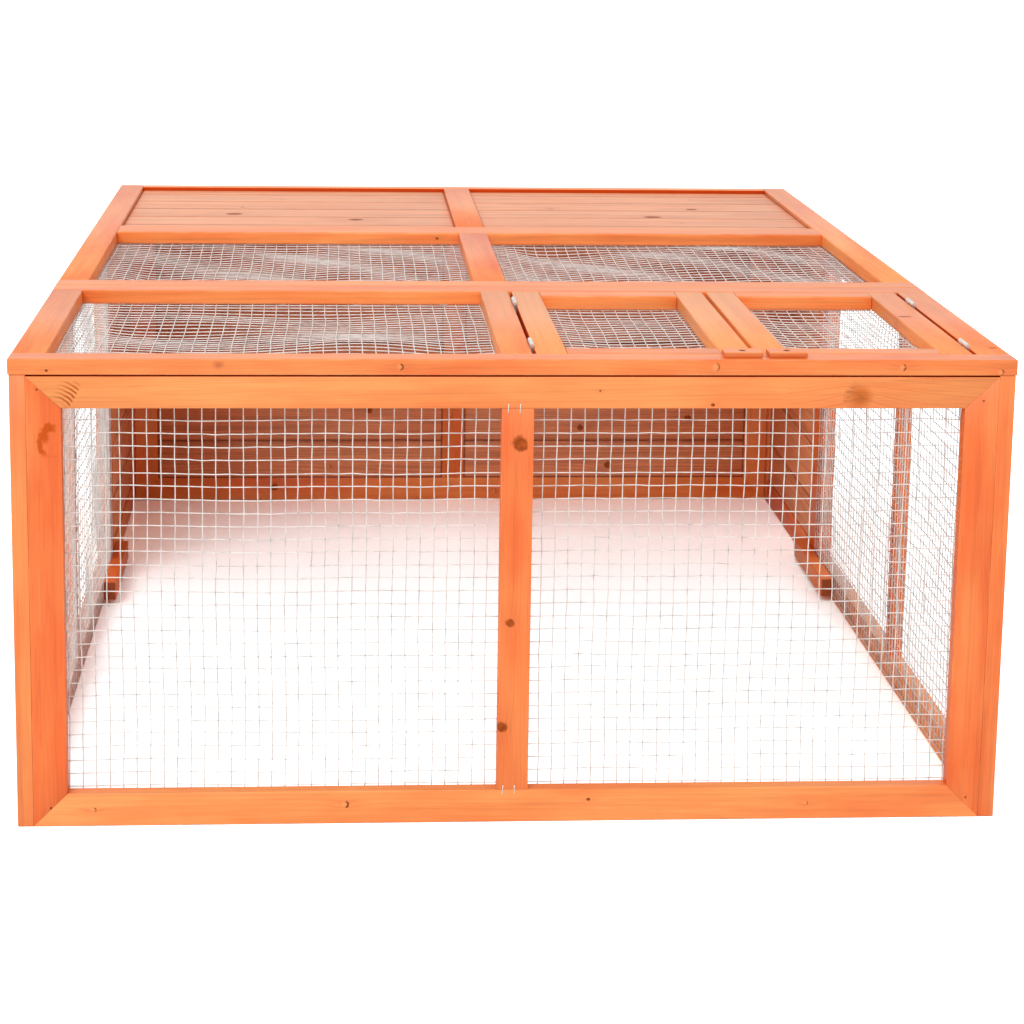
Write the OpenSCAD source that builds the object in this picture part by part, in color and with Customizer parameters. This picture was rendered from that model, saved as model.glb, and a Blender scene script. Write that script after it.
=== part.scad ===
// Outdoor animal hutch: a low wooden run with wire mesh walls and roof, a boarded shelter
// at the back, and two wire mesh doors in the roof that are held shut by turn buttons.
// Millimetres. The origin is on the ground under the middle, the front faces -Y, up is +Z.

/* [Overall size] */
// Width across the roof
hutch_w = 935; // [800:5:1200]
// Depth of the roof from front to back
hutch_d = 1220; // [1120:10:1500]
// Height from the ground to the top of the roof
hutch_h = 450; // [300:5:700]
// Thickness of every frame strip
timber_t = 15; // [14:1:20]
// How far the roof stands out past the walls on each side
roof_overhang = 1; // [0.6:0.2:4]
// Shadow gap between the front wall and the roof
front_drop = 1.5; // [0.5:0.5:3]

/* [Walls] */
// Height of the bottom rails and of the side and back top rails
wall_rail_h = 32; // [24:1:45]
// Height of the front wall's top rail
front_top_rail_h = 30; // [24:1:45]
// Width of the stiles at the wall corners
wall_stile_w = 32; // [26:1:45]
// Width of the front wall's centre stile
front_centre_stile_w = 30; // [26:1:45]
// Width of the back wall's centre stile
back_centre_stile_w = 31; // [24:1:45]
// Distance from the roof's front edge to the end of the mesh part of each side wall
run_d = 831; // [780:1:880]
// Distance from the roof's front edge to the middle stile of each side wall
middle_stile_y = 396; // [300:1:500]
// Width of the middle stile of each side wall
middle_stile_w = 20; // [16:1:32]
// Length of the cleat that joins the two parts of a side wall
cleat_l = 185; // [150:5:220]
// Part of the cleat's length that lies in front of that joint
cleat_front_l = 128; // [80:1:140]
// Width of the cleat
cleat_w = 16; // [12:1:24]
// Height of the cleat
cleat_h = 23; // [16:1:30]
// Height of the cleat above the ground
cleat_lift = 6; // [0:1:12]

/* [Roof frames] */
// Depth of the front roof panel, which holds the doors
front_panel_d = 397; // [360:1:440]
// Width of the front rail of the roof
roof_front_rail_w = 28; // [26:1:40]
// Width of the rail behind the doors
roof_head_rail_w = 31; // [24:1:40]
// Width of the stiles along the sides of the roof
roof_side_stile_w = 32; // [26:1:45]
// Width of the centre stile of the front roof panel
roof_centre_stile_w = 30; // [26:1:45]
// Width of the first rail of the rear roof panel
roof_middle_rail_w = 34; // [24:1:45]
// Distance from the roof's front edge to the rail in front of the shelter boards
shelter_rail_y = 782; // [700:1:850]
// Width of the rail in front of the shelter boards
shelter_rail_w = 51; // [30:1:60]
// Width of the rail at the back edge of the roof
roof_back_rail_w = 22; // [20:1:40]
// Width of the centre stiles of the rear roof panel
rear_centre_stile_w = 35; // [26:1:45]

/* [Shelter boards] */
// Width of one shelter board
board_w = 71; // [50:1:110]
// Thickness of the shelter boards
board_t = 8; // [6:0.5:9]
// How far the boards lie below the outer face of their frame
board_recess = 5; // [3:0.5:5]
// Gap between neighbouring boards
board_gap = 0.4; // [0.2:0.1:0.8]
// Depth of the grooves that hold the ends and edges of the boards
groove_depth = 6; // [4:0.5:8]

/* [Roof doors] */
// Width of the two long strips of a door
door_stile_w = 30; // [22:1:40]
// Width of the two short strips of a door
door_rail_w = 26; // [20:1:40]
// Gap at the front and back end of a door
door_end_gap = 1.5; // [1:0.5:4]
// Gap between the two doors
meeting_gap = 4.5; // [2.5:0.5:8]

/* [Hinges] */
// Length of a hinge
hinge_l = 30; // [26:1:44]
// Distance from a door's front end to the middle of its front hinge
hinge_front_in = 42; // [35:1:80]
// Distance from a door's back end to the middle of its back hinge
hinge_back_in = 69; // [35:1:90]
// Thickness of a hinge leaf
leaf_t = 1.2; // [1:0.1:1.5]
// Height of a hinge leaf
leaf_h = 12; // [10:0.5:12.5]
// Gap between the two leaves of a closed hinge
leaf_gap = 0.6; // [0.4:0.1:0.8]
// Outside diameter of the hinge knuckles
knuckle_d = 4.2; // [4:0.1:6]
// Number of knuckles in a hinge
knuckle_count = 5; // [3:2:5]
// Diameter of the hinge pin
pin_d = 2; // [1.6:0.1:2.3]
// Diameter of the head at each end of a hinge pin
pin_head_d = 3.1; // [2.8:0.1:3.6]
// Shank diameter of the hinge screws
hinge_screw_d = 2.2; // [1.8:0.1:2.8]
// Head diameter of the hinge screws
hinge_screw_head_d = 4.4; // [3.6:0.1:5.5]
// Length of the hinge screws
hinge_screw_l = 13; // [8:1:16]
// Distance from the end of a leaf to its screws
hinge_screw_in = 6.5; // [5:0.5:9]

/* [Turn buttons] */
// Length of a turn button
button_l = 36; // [30:1:50]
// Width of a turn button
button_w = 21; // [15:1:24]
// Thickness of a turn button
button_t = 5; // [4.5:0.5:8]
// Running gap under a turn button
button_lift = 0.4; // [0.3:0.1:0.7]
// Gap between the two turn buttons when both lie along the rail
button_pair_gap = 6; // [4:1:12]
// How far the pair of buttons stands to the right of the gap between the doors
button_pair_shift = 6; // [0:1:14]
// Gap between a turned back button and the front end of the doors
button_door_gap = 0.8; // [0.5:0.1:4]
// Shank diameter of the turn button screws
button_screw_d = 3.5; // [3:0.1:4]
// Head diameter of the turn button screws
button_screw_head_d = 7; // [6:0.1:8]
// How far the screws reach into the front rail
button_screw_grip = 12; // [8:0.5:13]

/* [Wire mesh] */
// Thickness of the welded mesh
mesh_t = 1.8; // [1.2:0.1:2]
// Distance between the mesh strands that are modelled
mesh_pitch = 66; // [50:2:120]
// Width of a mesh strand that is modelled
mesh_strand = 2.4; // [1.6:0.2:4]
// Clearance between two pieces of mesh, and between mesh and the next wall
mesh_clear = 0.5; // [0.3:0.1:1]
// Height of the wall mesh above the ground
mesh_lift = 3; // [0:1:12]
// How far a door's mesh stays back from the edge of the door
door_mesh_in = 4; // [2:0.5:10]

/* [Screws and staples] */
// Number of screws at each corner of the walls
corner_screw_count = 3; // [2:1:5]
// Shank diameter of the corner screws
corner_screw_d = 3.5; // [3:0.1:4.5]
// Head diameter of the corner screws
corner_screw_head_d = 7; // [6:0.1:9]
// Length of the corner screws
corner_screw_l = 30; // [24:1:38]
// Distance of the outermost corner screws from the ground and from the roof
corner_screw_in = 70; // [50:1:90]
// Length of a joint staple
staple_l = 9; // [6:0.5:12]
// Width of the staple wire
staple_wire = 1.2; // [0.8:0.1:1.6]
// How far a staple stands out of the wood
staple_proud = 0.5; // [0.3:0.1:0.6]
// Depth that the staple legs reach into the wood
staple_leg = 8; // [5:0.5:11]
// Place of the left staple, from the middle of the front
staple_left = -9; // [-10:0.5:-4]
// Place of the right staple, from the middle of the front
staple_right = 2; // [0:0.5:10]

/* [Hidden] */

// Colours of the stained softwood, of its paler boards and of the zinc
wood_colour = [0.95, 0.55, 0.32];
board_colour = [0.93, 0.62, 0.45];
zinc_colour = [0.8, 0.81, 0.83];
// Sides of the true circles on small round pieces
round_fn = 32;
// Diametral clearance of the screws in their holes
screw_clear = 0.1;
// Diametral clearance of the pins in their knuckles
pin_clear = 0.1;
// Gap between moving pieces of a hinge
hinge_clear = 0.35;
// Height of a hinge pin's head
pin_head_h = 0.8;
// How deep the head of a turn button screw lies below the top of the button
button_head_sink = 0.4;
// Height of the cone under a countersunk head
button_head_h = 2.4;
corner_head_h = 2.4;
// Narrowest board that is cut to close a row
board_min_w = 12;

// Half widths of the roof, of the outer wall faces and of the inner wall faces
roof_hw = hutch_w / 2;
wall_hw = roof_hw - roof_overhang;
inner_hw = wall_hw - timber_t;

// Places from front to back
roof_y0 = -hutch_d / 2;
roof_y1 = hutch_d / 2;
wall_y0 = roof_y0 + roof_overhang;
wall_y1 = roof_y1 - roof_overhang;
front_inner_y = wall_y0 + timber_t;
run_end_y = roof_y0 + run_d;
panel_seam_y = roof_y0 + front_panel_d;
head_rail_y = panel_seam_y - roof_head_rail_w;
middle_rail_back_y = panel_seam_y + roof_middle_rail_w;
shelter_rail_y0 = roof_y0 + shelter_rail_y;
shelter_rail_y1 = shelter_rail_y0 + shelter_rail_w;
back_rail_y = roof_y1 - roof_back_rail_w;

// Heights
wall_top = hutch_h - timber_t;
front_top = wall_top - front_drop;
mesh_top = wall_top - mesh_t - mesh_clear;
roof_z = [wall_top, hutch_h];
roof_mesh_z = [wall_top - mesh_t, wall_top];
board_z = [hutch_h - board_recess - board_t, hutch_h - board_recess];

// The hinges lie in a gap that is as wide as their two closed leaves
hinge_gap = 2 * leaf_t + leaf_gap;
knuckle_r = knuckle_d / 2;
hinge_rise = sqrt(pow(knuckle_r + hinge_clear, 2) - pow(hinge_gap / 2, 2));
leaf_top = -hinge_rise - 0.5;
knuckle_l = hinge_l / knuckle_count;
left_axis_x = roof_centre_stile_w / 2 + hinge_gap / 2;
right_axis_x = roof_hw - roof_side_stile_w - hinge_gap / 2;
axis_z = hutch_h + hinge_rise;

// The two doors share the space between the hinge gaps
door_y0 = roof_y0 + roof_front_rail_w + door_end_gap;
door_y1 = head_rail_y - door_end_gap;
left_door_x0 = left_axis_x + hinge_gap / 2;
right_door_x1 = right_axis_x - hinge_gap / 2;
meeting_x = (left_door_x0 + right_door_x1) / 2;
door_w = (right_door_x1 - left_door_x0 - meeting_gap) / 2;
hinge_ys = [door_y0 + hinge_front_in, door_y1 - hinge_back_in];

// Turn button pivots, as near the doors as a turned back button allows
button_y = door_y0 - button_door_gap - button_w / 2;
button_pitch = button_l + button_pair_gap;
left_button_x = meeting_x + button_pair_shift - button_pitch / 2;
right_button_x = meeting_x + button_pair_shift + button_pitch / 2;
button_top = hutch_h + button_lift + button_t;

// A box given by its lowest and highest value along each axis
module beam(x, y, z) {
  translate([x[0], y[0], z[0]])
    cube([x[1] - x[0], y[1] - y[0], z[1] - z[0]]);
}

// A flat outline of x and z points, as thick as the timber, its front face at y
module wall_strip(points, y) {
  translate([0, y + timber_t, 0])
    rotate([90, 0, 0])
      linear_extrude(timber_t)
        polygon(points);
}

// Edges of a row of boards from a to b, the first board being first wide
function board_edges(a, b, first) = [
  a,
  for (p = [a + first : board_w : b - board_min_w]) p,
  b
];

// A row of boards that fills a box, cut across the axis whose number is given
module board_row(x, y, z, axis, first) {
  box = [x, y, z];
  edges = board_edges(box[axis][0], box[axis][1], first);
  last = len(edges) - 2;
  for (i = [0 : last]) {
    lo = edges[i] + (i == 0 ? 0 : board_gap / 2);
    hi = edges[i + 1] - (i == last ? 0 : board_gap / 2);
    beam(axis == 0 ? [lo, hi] : x, axis == 1 ? [lo, hi] : y, axis == 2 ? [lo, hi] : z);
  }
}

// A sheet of mesh, size by size, drawn in the x and y plane with its corner at the origin
module mesh_sheet(size) {
  count = [for (s = size) max(1, round(s / mesh_pitch))];
  hole = [for (i = [0, 1]) (size[i] - mesh_strand) / count[i] - mesh_strand];
  linear_extrude(mesh_t)
    difference() {
      square(size);
      for (i = [0 : count[0] - 1], j = [0 : count[1] - 1])
        translate([
          mesh_strand + i * (hole[0] + mesh_strand),
          mesh_strand + j * (hole[1] + mesh_strand)
        ])
          square(hole);
    }
}

// A sheet of roof mesh between two x places and two y places
module roof_sheet(x, y) {
  color(zinc_colour)
    translate([x[0], y[0], roof_mesh_z[0]])
      mesh_sheet([x[1] - x[0], y[1] - y[0]]);
}

// A countersunk screw that points up from its head's face; grow makes the hole for it
module wood_screw(head_d, shank_d, head_h, length, grow = 0) {
  cylinder(d1 = head_d + grow, d2 = shank_d + grow, h = head_h, $fn = round_fn);
  cylinder(d = shank_d + grow, h = length + grow, $fn = round_fn);
  if (grow > 0)
    translate([0, 0, -1])
      cylinder(d = head_d + grow, h = 1, $fn = round_fn);
}

// Draws what follows on the left, and again mirrored on the right
module both_sides() {
  children();
  mirror([1, 0, 0]) children();
}

// Screws through the side walls into the front and back walls, on the left side
module left_corner_screws(grow = 0) {
  step = (wall_top - 2 * corner_screw_in) / (corner_screw_count - 1);
  for (y = [wall_y0 + timber_t / 2, wall_y1 - timber_t / 2])
    for (i = [0 : corner_screw_count - 1])
      translate([-wall_hw, y, corner_screw_in + i * step])
        rotate([0, 90, 0])
          wood_screw(corner_screw_head_d, corner_screw_d, corner_head_h, corner_screw_l, grow);
}

module corner_screw_holes() {
  both_sides() left_corner_screws(screw_clear);
}

// Staples across the joints between the centre stile and its two rails; grow makes the holes
module staples(grow = 0) {
  for (x = [staple_left, staple_right])
    for (z = [wall_rail_h, front_top - front_top_rail_h]) {
      beam(
        [x - staple_wire / 2, x + staple_wire / 2],
        [wall_y0 - staple_proud, wall_y0],
        [z - staple_l / 2, z + staple_l / 2]
      );
      for (leg = [z - staple_l / 2, z + staple_l / 2 - staple_wire])
        beam(
          [x - staple_wire / 2 - grow, x + staple_wire / 2 + grow],
          [wall_y0, wall_y0 + staple_leg + grow],
          [leg - grow, leg + staple_wire + grow]
        );
    }
}

// Space that the shelter boards fill in the left half of the roof
module left_roof_bed() {
  beam(
    [-roof_hw + roof_side_stile_w - groove_depth, -rear_centre_stile_w / 2 + groove_depth],
    [shelter_rail_y1 - groove_depth, back_rail_y + groove_depth],
    board_z
  );
}

module roof_beds() {
  both_sides() left_roof_bed();
}

// Places of the boards in the left side wall and in the left half of the back wall
side_board_x = [-wall_hw + board_recess, -wall_hw + board_recess + board_t];
side_board_y = [run_end_y + wall_stile_w - groove_depth, wall_y1 - wall_stile_w + groove_depth];
back_board_x = [-inner_hw + wall_stile_w - groove_depth, -back_centre_stile_w / 2 + groove_depth];
back_board_y = [wall_y1 - board_recess - board_t, wall_y1 - board_recess];
wall_board_z = [wall_rail_h - groove_depth, wall_top - wall_rail_h + groove_depth];

module back_beds() {
  both_sides() beam(back_board_x, back_board_y, wall_board_z);
}

// Front wall: a mitred frame between the side walls, with a centre stile and mesh behind
module front_top_rail() {
  low = front_top - front_top_rail_h;
  color(wood_colour)
    difference() {
      wall_strip([
        [-inner_hw + wall_stile_w, low],
        [inner_hw - wall_stile_w, low],
        [inner_hw, front_top],
        [-inner_hw, front_top]
      ], wall_y0);
      staples(0.05);
    }
}

module front_bottom_rail() {
  color(wood_colour)
    difference() {
      wall_strip([
        [-inner_hw, 0],
        [inner_hw, 0],
        [inner_hw - wall_stile_w, wall_rail_h],
        [-inner_hw + wall_stile_w, wall_rail_h]
      ], wall_y0);
      staples(0.05);
    }
}

module front_left_stile() {
  color(wood_colour)
    difference() {
      wall_strip([
        [-inner_hw, 0],
        [-inner_hw + wall_stile_w, wall_rail_h],
        [-inner_hw + wall_stile_w, front_top - front_top_rail_h],
        [-inner_hw, front_top]
      ], wall_y0);
      corner_screw_holes();
    }
}

module front_right_stile() {
  mirror([1, 0, 0]) front_left_stile();
}

module front_centre_stile() {
  color(wood_colour)
    difference() {
      beam(
        [-front_centre_stile_w / 2, front_centre_stile_w / 2],
        [wall_y0, front_inner_y],
        [wall_rail_h, front_top - front_top_rail_h]
      );
      staples(0.05);
    }
}

module front_mesh() {
  half = inner_hw - mesh_t - mesh_clear;
  color(zinc_colour)
    translate([-half, front_inner_y + mesh_t, mesh_lift])
      rotate([90, 0, 0])
        mesh_sheet([2 * half, mesh_top - mesh_lift]);
}

// Side walls: a mesh panel along the run and a boarded panel along the shelter
module left_run_rails() {
  color(wood_colour)
    for (z = [0, wall_top - wall_rail_h])
      beam(
        [-wall_hw, -inner_hw],
        [wall_y0 + wall_stile_w, run_end_y - wall_stile_w],
        [z, z + wall_rail_h]
      );
}

module left_run_stiles() {
  color(wood_colour)
    difference() {
      for (y = [wall_y0, run_end_y - wall_stile_w])
        beam([-wall_hw, -inner_hw], [y, y + wall_stile_w], [0, wall_top]);
      corner_screw_holes();
    }
}

module left_middle_stile() {
  y = roof_y0 + middle_stile_y;
  color(wood_colour)
    beam(
      [-wall_hw, -inner_hw],
      [y, y + middle_stile_w],
      [wall_rail_h, wall_top - wall_rail_h]
    );
}

module left_shelter_rails() {
  color(wood_colour)
    difference() {
      for (z = [0, wall_top - wall_rail_h])
        beam(
          [-wall_hw, -inner_hw],
          [run_end_y + wall_stile_w, wall_y1 - wall_stile_w],
          [z, z + wall_rail_h]
        );
      beam(side_board_x, side_board_y, wall_board_z);
    }
}

module left_shelter_stiles() {
  color(wood_colour)
    difference() {
      for (y = [run_end_y, wall_y1 - wall_stile_w])
        beam([-wall_hw, -inner_hw], [y, y + wall_stile_w], [0, wall_top]);
      beam(side_board_x, side_board_y, wall_board_z);
      corner_screw_holes();
    }
}

module left_boards() {
  color(board_colour)
    board_row(side_board_x, side_board_y, wall_board_z, 2, board_w * 0.85);
}

// Mesh on the inner face of the left side wall
module left_mesh() {
  y0 = front_inner_y + mesh_t + mesh_clear;
  y1 = run_end_y - mesh_clear;
  color(zinc_colour)
    translate([-inner_hw, y0, mesh_lift])
      rotate([90, 0, 90])
        mesh_sheet([y1 - y0, mesh_top - mesh_lift]);
}

module right_run_rails() {
  mirror([1, 0, 0]) left_run_rails();
}

module right_run_stiles() {
  mirror([1, 0, 0]) left_run_stiles();
}

module right_middle_stile() {
  mirror([1, 0, 0]) left_middle_stile();
}

module right_shelter_rails() {
  mirror([1, 0, 0]) left_shelter_rails();
}

module right_shelter_stiles() {
  mirror([1, 0, 0]) left_shelter_stiles();
}

module right_boards() {
  mirror([1, 0, 0]) left_boards();
}

module right_mesh() {
  mirror([1, 0, 0]) left_mesh();
}

// Cleats low on the side walls join run and shelter, and clamp the edge of the mesh
module side_cleats() {
  y = run_end_y - cleat_front_l;
  color(wood_colour)
    both_sides()
      difference() {
        beam(
          [-inner_hw, -inner_hw + cleat_w],
          [y, y + cleat_l],
          [cleat_lift, cleat_lift + cleat_h]
        );
        beam([-inner_hw - 1, -inner_hw + mesh_t], [y - 1, run_end_y - mesh_clear], [-1, hutch_h]);
      }
}

// Back wall: a mitred frame with boards in its grooves
module back_top_rail() {
  low = wall_top - wall_rail_h;
  color(wood_colour)
    difference() {
      wall_strip([
        [-inner_hw + wall_stile_w, low],
        [inner_hw - wall_stile_w, low],
        [inner_hw, wall_top],
        [-inner_hw, wall_top]
      ], wall_y1 - timber_t);
      back_beds();
    }
}

module back_bottom_rail() {
  color(wood_colour)
    difference() {
      wall_strip([
        [-inner_hw, 0],
        [inner_hw, 0],
        [inner_hw - wall_stile_w, wall_rail_h],
        [-inner_hw + wall_stile_w, wall_rail_h]
      ], wall_y1 - timber_t);
      back_beds();
    }
}

module back_corner_stiles() {
  color(wood_colour)
    difference() {
      both_sides()
        wall_strip([
          [-inner_hw, 0],
          [-inner_hw + wall_stile_w, wall_rail_h],
          [-inner_hw + wall_stile_w, wall_top - wall_rail_h],
          [-inner_hw, wall_top]
        ], wall_y1 - timber_t);
      back_beds();
      corner_screw_holes();
    }
}

module back_centre_stile() {
  color(wood_colour)
    difference() {
      beam(
        [-back_centre_stile_w / 2, back_centre_stile_w / 2],
        [wall_y1 - timber_t, wall_y1],
        [wall_rail_h, wall_top - wall_rail_h]
      );
      back_beds();
    }
}

module back_boards() {
  color(board_colour)
    both_sides() board_row(back_board_x, back_board_y, wall_board_z, 2, board_w * 0.85);
}

// Front roof panel: mesh on the left, and a bay for the doors on the right
module roof_front_rail() {
  color(wood_colour)
    difference() {
      beam([-roof_hw, roof_hw], [roof_y0, roof_y0 + roof_front_rail_w], roof_z);
      turn_button_screw_set(screw_clear);
    }
}

module roof_head_rail() {
  color(wood_colour)
    beam([-roof_hw, roof_hw], [head_rail_y, panel_seam_y], roof_z);
}

module roof_front_left_stile() {
  color(wood_colour)
    beam(
      [-roof_hw, -roof_hw + roof_side_stile_w],
      [roof_y0 + roof_front_rail_w, head_rail_y],
      roof_z
    );
}

module roof_front_centre_stile() {
  color(wood_colour)
    difference() {
      beam(
        [-roof_centre_stile_w / 2, roof_centre_stile_w / 2],
        [roof_y0 + roof_front_rail_w, head_rail_y],
        roof_z
      );
      left_hinges() fixed_leaf_screws(screw_clear);
    }
}

module roof_front_right_stile() {
  color(wood_colour)
    difference() {
      beam(
        [roof_hw - roof_side_stile_w, roof_hw],
        [roof_y0 + roof_front_rail_w, head_rail_y],
        roof_z
      );
      right_hinges() fixed_leaf_screws(screw_clear);
    }
}

module roof_front_mesh() {
  roof_sheet(
    [-inner_hw + mesh_t + mesh_clear, -mesh_clear],
    [front_inner_y + mesh_t + mesh_clear, head_rail_y + roof_head_rail_w / 2]
  );
}

// Rear roof panel: mesh across the middle, and boards over the shelter
module roof_middle_rail() {
  color(wood_colour)
    beam([-roof_hw, roof_hw], [panel_seam_y, middle_rail_back_y], roof_z);
}

module roof_rear_left_stile() {
  color(wood_colour)
    difference() {
      beam([-roof_hw, -roof_hw + roof_side_stile_w], [middle_rail_back_y, roof_y1], roof_z);
      roof_beds();
    }
}

module roof_rear_right_stile() {
  mirror([1, 0, 0]) roof_rear_left_stile();
}

module roof_rear_centre_stiles() {
  half = rear_centre_stile_w / 2;
  color(wood_colour)
    difference() {
      union() {
        beam([-half, half], [middle_rail_back_y, shelter_rail_y0], roof_z);
        beam([-half, half], [shelter_rail_y1, back_rail_y], roof_z);
      }
      roof_beds();
    }
}

module roof_shelter_rail() {
  half = roof_hw - roof_side_stile_w;
  color(wood_colour)
    difference() {
      beam([-half, half], [shelter_rail_y0, shelter_rail_y1], roof_z);
      roof_beds();
    }
}

module roof_back_rail() {
  half = roof_hw - roof_side_stile_w;
  color(wood_colour)
    difference() {
      beam([-half, half], [back_rail_y, roof_y1], roof_z);
      roof_beds();
    }
}

module roof_boards() {
  color(board_colour)
    both_sides()
      board_row(
        [-roof_hw + roof_side_stile_w - groove_depth, -rear_centre_stile_w / 2 + groove_depth],
        [shelter_rail_y1 - groove_depth, back_rail_y + groove_depth],
        board_z,
        1,
        board_w * 0.7
      );
}

module roof_rear_mesh() {
  half = inner_hw - mesh_t - mesh_clear;
  roof_sheet(
    [-half, half],
    [panel_seam_y + roof_middle_rail_w / 2, shelter_rail_y0 + shelter_rail_w / 2]
  );
}

// Doors: the strips and the mesh of a door whose hinge side is at x and which runs along dir
module door_stile(x, screws) {
  color(wood_colour)
    difference() {
      beam([x, x + door_stile_w], [door_y0, door_y1], roof_z);
      if (screws == "left")
        left_hinges() door_leaf_screws(screw_clear);
      if (screws == "right")
        right_hinges() door_leaf_screws(screw_clear);
    }
}

module door_rails(x) {
  color(wood_colour)
    for (y = [door_y0, door_y1 - door_rail_w])
      beam([x + door_stile_w, x + door_w - door_stile_w], [y, y + door_rail_w], roof_z);
}

module door_mesh(x) {
  roof_sheet(
    [x + door_mesh_in, x + door_w - door_mesh_in],
    [door_y0 + door_mesh_in, door_y1 - door_mesh_in]
  );
}

module left_door_hinge_stile() {
  door_stile(left_door_x0, "left");
}

module left_door_latch_stile() {
  door_stile(left_door_x0 + door_w - door_stile_w, "none");
}

module left_door_rails() {
  door_rails(left_door_x0);
}

module left_door_mesh() {
  door_mesh(left_door_x0);
}

module right_door_hinge_stile() {
  door_stile(right_door_x1 - door_stile_w, "right");
}

module right_door_latch_stile() {
  door_stile(right_door_x1 - door_w, "none");
}

module right_door_rails() {
  door_rails(right_door_x1 - door_w);
}

module right_door_mesh() {
  door_mesh(right_door_x1 - door_w);
}

// Hinges: each is drawn about its own pin axis, with the door on the +x side
module left_hinges() {
  for (y = hinge_ys)
    translate([left_axis_x, y, axis_z])
      children();
}

module right_hinges() {
  for (y = hinge_ys)
    translate([right_axis_x, y, axis_z])
      mirror([1, 0, 0])
        children();
}

// A leaf with its knuckles from the number first on, every second one
module leaf(first) {
  inner = -hinge_gap / 2;
  difference() {
    union() {
      beam([inner, inner + leaf_t], [-hinge_l / 2, hinge_l / 2], [leaf_top - leaf_h, leaf_top]);
      for (i = [first : 2 : knuckle_count - 1]) {
        y0 = -hinge_l / 2 + i * knuckle_l + (i == 0 ? 0 : hinge_clear / 2);
        y1 = -hinge_l / 2 + (i + 1) * knuckle_l
          - (i == knuckle_count - 1 ? 0 : hinge_clear / 2);
        beam([inner, inner + leaf_t], [y0, y1], [leaf_top - 1, 0]);
        translate([0, y0, 0])
          rotate([-90, 0, 0])
            cylinder(d = knuckle_d, h = y1 - y0, $fn = round_fn);
      }
    }
    translate([0, -hinge_l, 0])
      rotate([-90, 0, 0])
        cylinder(d = pin_d + pin_clear, h = 2 * hinge_l, $fn = round_fn);
    fixed_leaf_screws(screw_clear);
  }
}

// Two screws through the fixed leaf, from the gap between the leaves into the wood
module fixed_leaf_screws(grow = 0) {
  for (y = [-hinge_l / 2 + hinge_screw_in, hinge_l / 2 - hinge_screw_in])
    translate([-hinge_gap / 2 + leaf_t, y, leaf_top - leaf_h / 2])
      rotate([0, -90, 0])
        wood_screw(hinge_screw_head_d, hinge_screw_d, leaf_t, hinge_screw_l, grow);
}

module door_leaf_screws(grow = 0) {
  mirror([1, 0, 0]) fixed_leaf_screws(grow);
}

module fixed_hinge_leaves() {
  color(zinc_colour) {
    left_hinges() leaf(0);
    right_hinges() leaf(0);
  }
}

module left_door_hinge_leaves() {
  color(zinc_colour)
    left_hinges() mirror([1, 0, 0]) leaf(1);
}

module right_door_hinge_leaves() {
  color(zinc_colour)
    right_hinges() mirror([1, 0, 0]) leaf(1);
}

module hinge_pin() {
  for (y = [-hinge_l / 2 - pin_head_h, hinge_l / 2])
    translate([0, y, 0])
      rotate([-90, 0, 0])
        cylinder(d = pin_head_d, h = pin_head_h, $fn = round_fn);
  translate([0, -hinge_l / 2, 0])
    rotate([-90, 0, 0])
      cylinder(d = pin_d, h = hinge_l, $fn = round_fn);
}

module hinge_pins() {
  color(zinc_colour) {
    left_hinges() hinge_pin();
    right_hinges() hinge_pin();
  }
}

module stile_hinge_screws() {
  color(zinc_colour) {
    left_hinges() fixed_leaf_screws();
    right_hinges() fixed_leaf_screws();
  }
}

module left_door_hinge_screws() {
  color(zinc_colour)
    left_hinges() door_leaf_screws();
}

module right_door_hinge_screws() {
  color(zinc_colour)
    right_hinges() door_leaf_screws();
}

// Turn buttons: blocks that turn on a screw, drawn along the rail, clear of the doors
module turn_button(x) {
  color(wood_colour)
    difference() {
      beam(
        [x - button_l / 2, x + button_l / 2],
        [button_y - button_w / 2, button_y + button_w / 2],
        [hutch_h + button_lift, button_top]
      );
      turn_button_screw_set(screw_clear);
    }
}

module turn_button_screw_set(grow = 0) {
  length = button_t - button_head_sink + button_lift + button_screw_grip;
  for (x = [left_button_x, right_button_x])
    translate([x, button_y, button_top - button_head_sink])
      rotate([180, 0, 0])
        wood_screw(button_screw_head_d, button_screw_d, button_head_h, length, grow);
}

module left_turn_button() {
  turn_button(left_button_x);
}

module right_turn_button() {
  turn_button(right_button_x);
}

module turn_button_screws() {
  color(zinc_colour)
    turn_button_screw_set();
}

module joint_staples() {
  color(zinc_colour)
    staples();
}

module corner_screws() {
  color(zinc_colour)
    both_sides() left_corner_screws();
}

front_top_rail();
front_bottom_rail();
front_left_stile();
front_right_stile();
front_centre_stile();
front_mesh();
left_run_rails();
left_run_stiles();
left_middle_stile();
left_shelter_rails();
left_shelter_stiles();
left_boards();
left_mesh();
right_run_rails();
right_run_stiles();
right_middle_stile();
right_shelter_rails();
right_shelter_stiles();
right_boards();
right_mesh();
side_cleats();
back_top_rail();
back_bottom_rail();
back_corner_stiles();
back_centre_stile();
back_boards();
roof_front_rail();
roof_head_rail();
roof_front_left_stile();
roof_front_centre_stile();
roof_front_right_stile();
roof_front_mesh();
roof_middle_rail();
roof_shelter_rail();
roof_back_rail();
roof_rear_left_stile();
roof_rear_centre_stiles();
roof_rear_right_stile();
roof_boards();
roof_rear_mesh();
left_door_hinge_stile();
left_door_latch_stile();
left_door_rails();
left_door_mesh();
right_door_hinge_stile();
right_door_latch_stile();
right_door_rails();
right_door_mesh();
fixed_hinge_leaves();
left_door_hinge_leaves();
right_door_hinge_leaves();
hinge_pins();
stile_hinge_screws();
left_door_hinge_screws();
right_door_hinge_screws();
left_turn_button();
right_turn_button();
turn_button_screws();
joint_staples();
corner_screws();
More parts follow.
